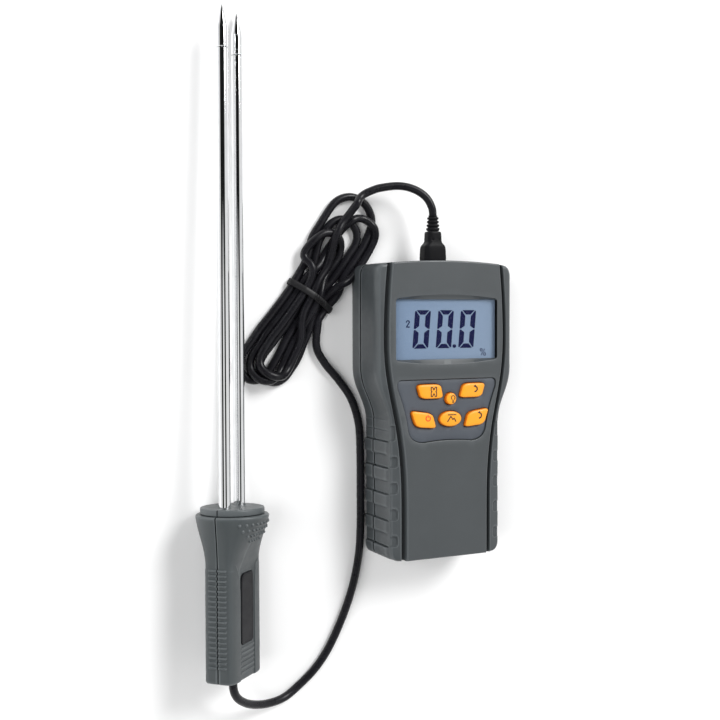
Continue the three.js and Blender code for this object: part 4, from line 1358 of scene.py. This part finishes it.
# the flat face: where it ends, over which depths it begins, and the label's recess in it
FACE_END = 64
FACE_EDGE = (6.2, 7.4)
LABEL_RECESS = (18.2, 55.2)
SIDE_RIBS = [8 + 2.6 * k for k in range(20)]
LOW_RIBS = [3.4 + 2.5 * k for k in range(6)]
DOT_ROWS = [(81.0, 4.5), (77.9, 4.0), (74.9, 3.0), (72.0, 2.0)]


def handle_size(y):
    """Half width, half depth and squareness of the handle at height y."""
    share = min(max((y - FLARE_START) / (HANDLE_LENGTH - 1 - FLARE_START), 0), 1)
    swell = share * share * (1.7 - 0.7 * share)
    inset = 0.0
    for gone in (y, HANDLE_LENGTH - y):
        if gone < 1.1:
            inset = 1.1 - (1.1 ** 2 - (1.1 - gone) ** 2) ** 0.5
    half_width = GRIP_WIDTH / 2 + (RING_RADIUS - GRIP_WIDTH / 2) * swell - inset
    half_depth = GRIP_DEPTH / 2 + (RING_RADIUS - GRIP_DEPTH / 2) * swell - inset
    return half_width, half_depth, 6.5 + (2 - 6.5) * share ** 0.6


def pulse(y, start, width, edge=0.16):
    """1 on a rib that starts here, 0 beside it, with eased edges."""
    end = start + width
    return float(ramp(y, start - edge, start + edge) * (1 - ramp(y, end - edge, end + edge)))


def round_box(x, y, x0, x1, y0, y1, corner):
    """How deep a point lies inside a rounded rectangle; negative outside."""
    dx = np.abs(x - (x0 + x1) / 2) - (x1 - x0) / 2 + corner
    dy = np.abs(y - (y0 + y1) / 2) - (y1 - y0) / 2 + corner
    outside = np.hypot(np.maximum(dx, 0), np.maximum(dy, 0))
    return corner - outside - np.minimum(np.maximum(dx, dy), 0)


def handle_relief(x, y, z, front):
    """Displacement of the handle's surface outwards at points of one cross-section."""
    side = ramp(np.abs(x), 12.5, 14.5) * (1 - ramp(np.abs(z), 4.7, 5.3))
    relief = 0.65 * side * max(pulse(y, rib, 1.1) for rib in SIDE_RIBS)
    if front and y < FACE_END:
        face = ramp(z, *FACE_EDGE)
        opening = 8.3 + 7.4 * (1 - (1 - max(0, min(1, (y - 44) / 18)) ** 2) ** 0.5)
        panel = ramp(opening - np.abs(x), -0.1, 0.35) * (1 - ramp(y, 57, 63))
        label = ramp(round_box(x, y, -7.05, 7.05, *LABEL_RECESS, 2.4), -0.15, 0.1)
        ribs = max(pulse(y, rib, 1.2) for rib in LOW_RIBS) * (1 - ramp(np.abs(x), 7.3, 7.8))
        relief = relief + face * (-0.7 * panel - 0.75 * label + 0.5 * ribs)
    if not front and y < FACE_END:
        face = ramp(z, *FACE_EDGE)
        grip = max(pulse(y, rib, 1.1) for rib in SIDE_RIBS) * (1 - ramp(np.abs(x), 10.2, 10.7))
        relief = relief + face * 0.3 * grip
    return relief


def handle_stations():
    ends = [0.0, 0.08, 0.25, 0.5, 0.8, 1.1]
    ribs = [rib + offset for rib in SIDE_RIBS + LOW_RIBS for offset in (-0.16, 0.0, 0.16, 0.94, 1.1, 1.26)]
    marks = [edge + offset for edge in (*LABEL_RECESS, 60, 50) for offset in (-0.3, -0.1, 0.1, 0.3)]
    top = [HANDLE_LENGTH - gone for gone in ends]
    middle = np.arange(1.5, HANDLE_LENGTH - 1.2, 0.55)
    every = np.unique(np.round(np.concatenate([ends, ribs, marks, middle, top]), 3))
    keep = [every[0]]
    for value in every[1:]:
        if value - keep[-1] > 0.05:
            keep.append(value)
    return [value for value in keep if value <= HANDLE_LENGTH]


def half_ring(y, front, count=170):
    """One half of the handle's cross-section, from one seam round to the other."""
    half_width, half_depth, squareness = handle_size(y)
    angle = np.linspace(0, math.pi, 1600)
    power = 2 / squareness
    x = half_width * np.sign(np.cos(angle)) * np.abs(np.cos(angle)) ** power
    z = half_depth * np.abs(np.sin(angle)) ** power
    keep = z >= 0.45
    half = np.stack([x[keep], z[keep]], 1)
    reach = np.concatenate([[0], np.cumsum(np.linalg.norm(np.diff(half, axis=0), axis=1))])
    wanted = np.linspace(0, reach[-1], count)
    ring = np.stack([np.interp(wanted, reach, half[:, axis]) for axis in (0, 1)], 1)
    along = np.gradient(ring, axis=0)
    along /= np.linalg.norm(along, axis=1)[:, None]
    normal = np.stack([along[:, 1], -along[:, 0]], 1)
    ring = ring + normal * handle_relief(ring[:, 0], y, ring[:, 1], front)[:, None]
    first, last = ring[0], ring[-1]
    lips = [(first[0] - 1.6, JOINT_GAP), (first[0] - 0.1, JOINT_GAP)]
    ends = [(last[0] + 0.1, JOINT_GAP), (last[0] + 1.6, JOINT_GAP)]
    return np.vstack([lips, ring, ends])


def handle_dots(skin):
    """Small raised pips on the flare, in four rows that narrow towards the grip."""
    for y, reach in DOT_ROWS:
        half_width, half_depth, squareness = handle_size(y)
        slope = (handle_size(y + 0.5)[1] - handle_size(y - 0.5)[1])
        for step in np.arange(-reach, reach + 0.1):
            angle = math.radians(11.5 * step)
            away = np.array([math.sin(angle), math.cos(angle)])
            radius = (abs(away[0] / half_width) ** squareness + abs(away[1] / half_depth) ** squareness)
            radius = radius ** (-1 / squareness)
            centre = Vector((away[0] * radius, y, away[1] * radius))
            out = Vector((away[0], -slope, away[1])).normalized()
            across = out.cross(Vector((0, 1, 0))).normalized()
            up = across.cross(out)
            rows = []
            for share in (1.0, 0.93, 0.74, 0.42):
                height = -0.15 + 1.05 * (1 - share ** 2.4)
                rows.append([centre + out * height + (across * math.cos(a) + up * math.sin(a)) * 0.98 * share
                             for a in np.arange(14) / 14 * TAU])
            skin.grid([[tuple(spot) for spot in row] for row in rows], closed=True)
            skin.fan([tuple(spot) for spot in rows[-1]])


def make_handle_half(front):
    skin = Skin()
    heights = handle_stations()
    rings = [half_ring(y, front) for y in heights]
    count = len(rings[0])
    angle = np.linspace(0, math.pi, count)
    circle = np.stack([np.cos(angle), np.maximum(np.sin(angle), 0.0)], 1)
    rows = []
    for radius, y in [(4.45, 4.0), (4.45, 0.25), (4.7, 0.0)]:
        spots = circle * radius
        spots[:, 1] = np.maximum(spots[:, 1], INNER_GAP)
        rows.append(upright_ring(spots, y))
    last = rows[-1][:, [0, 2]]
    for share in (0.35, 0.7):
        rows.append(upright_ring(last * (1 - share) + rings[0] * share, 0.0))
    for y, ring in zip(heights, rings):
        rows.append(upright_ring(ring, y))
    for share in (0.5, 0.8):
        mixed = rings[-1] * (1 - share) + circle * 12 * share
        mixed[:, 1] = np.maximum(mixed[:, 1], INNER_GAP)
        rows.append(upright_ring(mixed, HANDLE_LENGTH))
    skin.grid(rows)
    if front:
        handle_dots(skin)
    name = "handle_shell_front" if front else "handle_shell_rear"
    node = "handle_front" if front else "handle_rear"
    if not front:
        skin.points = [(x, y, -z) for x, y, z in skin.points]
    piece = shaped(name, skin, PROBE, HANDLE, "probe", (node,), sharp=36)
    # painted shade on the floor of the joint between the handle halves
    shade_joint(piece, PROBE, JOINT_GAP if front else -JOINT_GAP)
    return piece


ROD_SPACING = 16.5
ROD_RADIUS = 3.2
CAP_LOW = HANDLE_LENGTH + 0.3
CAP_HIGH = CAP_LOW + 3.2
CAP_RADIUS = 16.8
ROD_TOP = CAP_HIGH + 237.4
SPLIT_WALL = 0.3
SPLIT_FLOOR = 0.17
SPLIT_DEPTH = 0.45


def cap_circle():
    """Unit circle with more points at the split between the disc's halves, and the split's depth there."""
    plain = np.arange(96) / 96 * TAU
    plain = plain[np.abs(np.sin(plain)) > 0.03]
    marks = np.array([-SPLIT_WALL, -SPLIT_FLOOR, SPLIT_FLOOR, SPLIT_WALL]) / CAP_RADIUS
    angle = np.sort(np.concatenate([plain, marks % TAU, marks + math.pi]))
    circle = np.stack([np.cos(angle), np.sin(angle)], 1)
    middle = (SPLIT_WALL + SPLIT_FLOOR) / 2 / CAP_RADIUS
    return circle, np.where(np.abs(circle[:, 1]) < middle, SPLIT_DEPTH, 0.0)


def shade_split(piece):
    """Painted shade in the narrow split between the disc's halves, which lies in deep shade."""
    def deep(spot, _):
        return abs(spot.z) < SPLIT_WALL and abs(spot.x) > CAP_RADIUS - 1 and spot.y < CAP_HIGH - 0.02

    shade_faces(piece, PROBE, deep)


def make_cap():
    skin = Skin()
    circle, split = cap_circle()
    rows = []
    edge_steps = [
        (2.0, CAP_LOW), (0.35, CAP_LOW), (0.08, CAP_LOW + 0.1), (0, CAP_LOW + 0.35),
        (0, CAP_HIGH - 0.8), (0.1, CAP_HIGH - 0.4), (0.35, CAP_HIGH - 0.12), (0.75, CAP_HIGH),
    ]
    for inset, y in edge_steps:
        rows.append(upright_ring(circle * (CAP_RADIUS - inset - split)[:, None], y))
    skin.grid(rows, closed=True)
    holes = []
    flat = Skin()
    for side in (-1, 1):
        edge = ellipse(side * ROD_SPACING / 2, 0, ROD_RADIUS + 0.5, ROD_RADIUS + 0.5, 40)
        inner = ellipse(side * ROD_SPACING / 2, 0, ROD_RADIUS + 0.15, ROD_RADIUS + 0.15, 40)
        flat.grid([lift(edge, CAP_HIGH), lift(grown(inner, 0.08), CAP_HIGH - 0.12),
                   lift(inner, CAP_HIGH - 0.4), lift(inner, CAP_LOW)], closed=True)
        holes.append(edge)
    flat.region(circle * (CAP_RADIUS - 0.75 - split)[:, None], holes, CAP_HIGH, step=2.4)
    skin.add([(x, y, z) for x, z, y in flat.points], flat.faces)
    piece = shaped("handle_disc", skin, PROBE, HANDLE, "probe", ("handle_cap",), sharp=36)
    shade_split(piece)
    return piece


def make_label():
    skin = Skin()
    low = GRIP_DEPTH / 2 - 0.9
    outline = round_rect(-6.7, 6.7, 18.5, 54.9, 2.2, step=0.5, upper_left=4.6)
    top = grown(outline, -0.18)
    skin.grid([lift(outline, low), lift(outline, low + 0.42), lift(grown(outline, -0.06), low + 0.55),
               lift(top, low + 0.6)], closed=True)
    frame_out = grown(outline, -0.75)
    frame_in = grown(outline, -1.0)
    skin.grid([lift(frame_out, low + 0.6), lift(grown(outline, -0.82), low + 0.5),
               lift(grown(outline, -0.93), low + 0.5), lift(frame_in, low + 0.6)], closed=True)
    skin.region(top, [frame_out], low + 0.6, step=3)
    skin.region(frame_in, [], low + 0.6, step=3)
    return shaped("grip_label", skin, PROBE, LABEL, "probe", ("handle_label",), sharp=40)


def make_rods():
    for side, name in ((-1, "near"), (1, "far")):
        x = side * ROD_SPACING / 2
        tube_profile = [(0, 68), (ROD_RADIUS - 0.2, 68), (ROD_RADIUS, 68.2)]
        tube_profile += [(ROD_RADIUS, y) for y in np.linspace(76, ROD_TOP - 8, 16)]
        tube_profile += [(ROD_RADIUS, ROD_TOP - 0.25), (ROD_RADIUS - 0.25, ROD_TOP), (0, ROD_TOP)]
        shaped(f"rod_tube_{name}", turned(tube_profile, 56, x=x), PROBE, STEEL, "probe",
               (f"rod_{name}",), sharp=30)
        low = ROD_TOP + 0.3
        shoulder = low + 11.0
        tip_profile = [(0, low), (ROD_RADIUS - 0.3, low), (ROD_RADIUS, low + 0.3), (ROD_RADIUS, low + 5),
                       (ROD_RADIUS, shoulder - 0.8), (ROD_RADIUS - 0.05, shoulder - 0.2)]
        for share in np.linspace(0.04, 1, 12):
            radius = ROD_RADIUS * (1 - share) ** 0.86 + 0.22 * share
            tip_profile.append((radius, shoulder + 11.4 * share))
        tip_profile.append((0, shoulder + 11.6))
        shaped(f"rod_point_{name}", turned(tip_profile, 56, x=x), PROBE, STEEL, "probe",
               (f"tip_{name}",), sharp=24)


def make_grommet():
    outer = CORD_RADIUS + 1.9
    profile = [(CORD_RADIUS + 0.1, -1.2), (outer - 1.1, -1.2), (outer - 0.5, -1.0), (outer - 0.15, -0.5),
               (outer, 0.2), (outer, 5.7), (CORD_RADIUS + 0.1, 5.7)]
    shaped("handle_grommet", turned(profile, 40), PROBE, PLUG, "probe",
           ("cord_grommet",), sharp=40)


PLUG_PIECES = make_plug()
make_handle_half(True)
make_handle_half(False)
make_cap()
make_label()
make_rods()
make_grommet()
lead_line, rest_line = make_cords()
make_tie((lead_line, rest_line))


# ---------------------------------------------------------------- floor and lights
def make_stage():
    mesh = bpy.data.meshes.new("floor")
    mesh.from_pydata([(-3, -3, 0), (3, -3, 0), (3, 3, 0), (-3, 3, 0)], [], [(0, 1, 2, 3)])
    floor = new_object("floor", mesh)
    material, _ = base_material("floor_look", (0.94, 0.94, 0.94), 0.85)
    mesh.materials.append(material)


def area_light(name, spot, aim, size, power):
    data = bpy.data.lights.new(name, "AREA")
    data.shape = "RECTANGLE"
    data.size, data.size_y = size
    data.energy = power
    light = new_object(name, data)
    light.location = spot
    light.rotation_euler = (Vector(aim) - Vector(spot)).to_track_quat("-Z", "Y").to_euler()
    return light


# brightness of the light tent by angle from side to side, 0 at the left horizon and 1 at the right one:
# its dark gap on the left, and the panel that closes the lower part of the gap
TENT = [(0.0, 0.95), (0.155, 0.95), (0.185, 0.012), (0.60, 0.012), (0.63, 1.0), (0.9, 1.0), (1.0, 0.9)]
PANEL_IN_GAP = [(0.0, 0.0), (0.315, 0.0), (0.34, 1.0), (0.455, 1.0), (0.48, 0.0), (1.0, 0.0)]


def brightness_ramp(tree, share, stops):
    node = tree.nodes.new("ShaderNodeValToRGB")
    for place, level in stops[1:-1]:
        node.color_ramp.elements.new(place).color = (level, level, level, 1)
    for end, (_, level) in ((0, stops[0]), (-1, stops[-1])):
        node.color_ramp.elements[end].color = (level, level, level, 1)
    tree.links.new(share, node.inputs["Fac"])
    return node.outputs["Color"]


SKY_STRENGTH = 0.85


def studio_sky():
    """A soft white light tent, closed at both ends, with a dark gap along one side."""
    world = bpy.data.worlds.new("studio")
    world.use_nodes = True
    tree = world.node_tree
    direction = tree.nodes.new("ShaderNodeTexCoord")
    parts = tree.nodes.new("ShaderNodeSeparateXYZ")
    tree.links.new(direction.outputs["Generated"], parts.inputs["Vector"])
    angle = tree.nodes.new("ShaderNodeMath")
    angle.operation = "ARCTAN2"
    tree.links.new(parts.outputs["X"], angle.inputs[0])
    tree.links.new(parts.outputs["Z"], angle.inputs[1])
    share = spread(tree, angle.outputs["Value"], 0, 1, -math.pi / 2, math.pi / 2)
    lower = spread(tree, parts.outputs["Y"], 1, 0, 0.10, 0.19)
    tent = brightness_ramp(tree, share, TENT)
    panel = brightness_ramp(tree, share, PANEL_IN_GAP)
    around = blend_colors(tree, lower, tent, panel, "ADD")
    depth = tree.nodes.new("ShaderNodeMath")
    depth.operation = "ABSOLUTE"
    tree.links.new(parts.outputs["Y"], depth.inputs[0])
    at_ends = spread(tree, depth.outputs["Value"], 0, 1, 0.8, 0.9)
    background = tree.nodes["Background"]
    closed_tent = blend_colors(tree, at_ends, around, (0.95, 0.95, 0.95))
    tree.links.new(closed_tent, background.inputs["Color"])
    background.inputs["Strength"].default_value = SKY_STRENGTH
    bpy.context.scene.world = world


def make_lights():
    studio_sky()
    area_light("key", (1.1, 1.5, 1.9), (0, 0, 0), (1.1, 1.1), 52)
    fill = area_light("fill", (-1.8, 0.2, 1.4), (-0.05, 0, 0), (1.2, 1.6), 34)
    fill.visible_glossy = False


bpy.context.scene.view_settings.view_transform = "Standard"
make_stage()
make_lights()
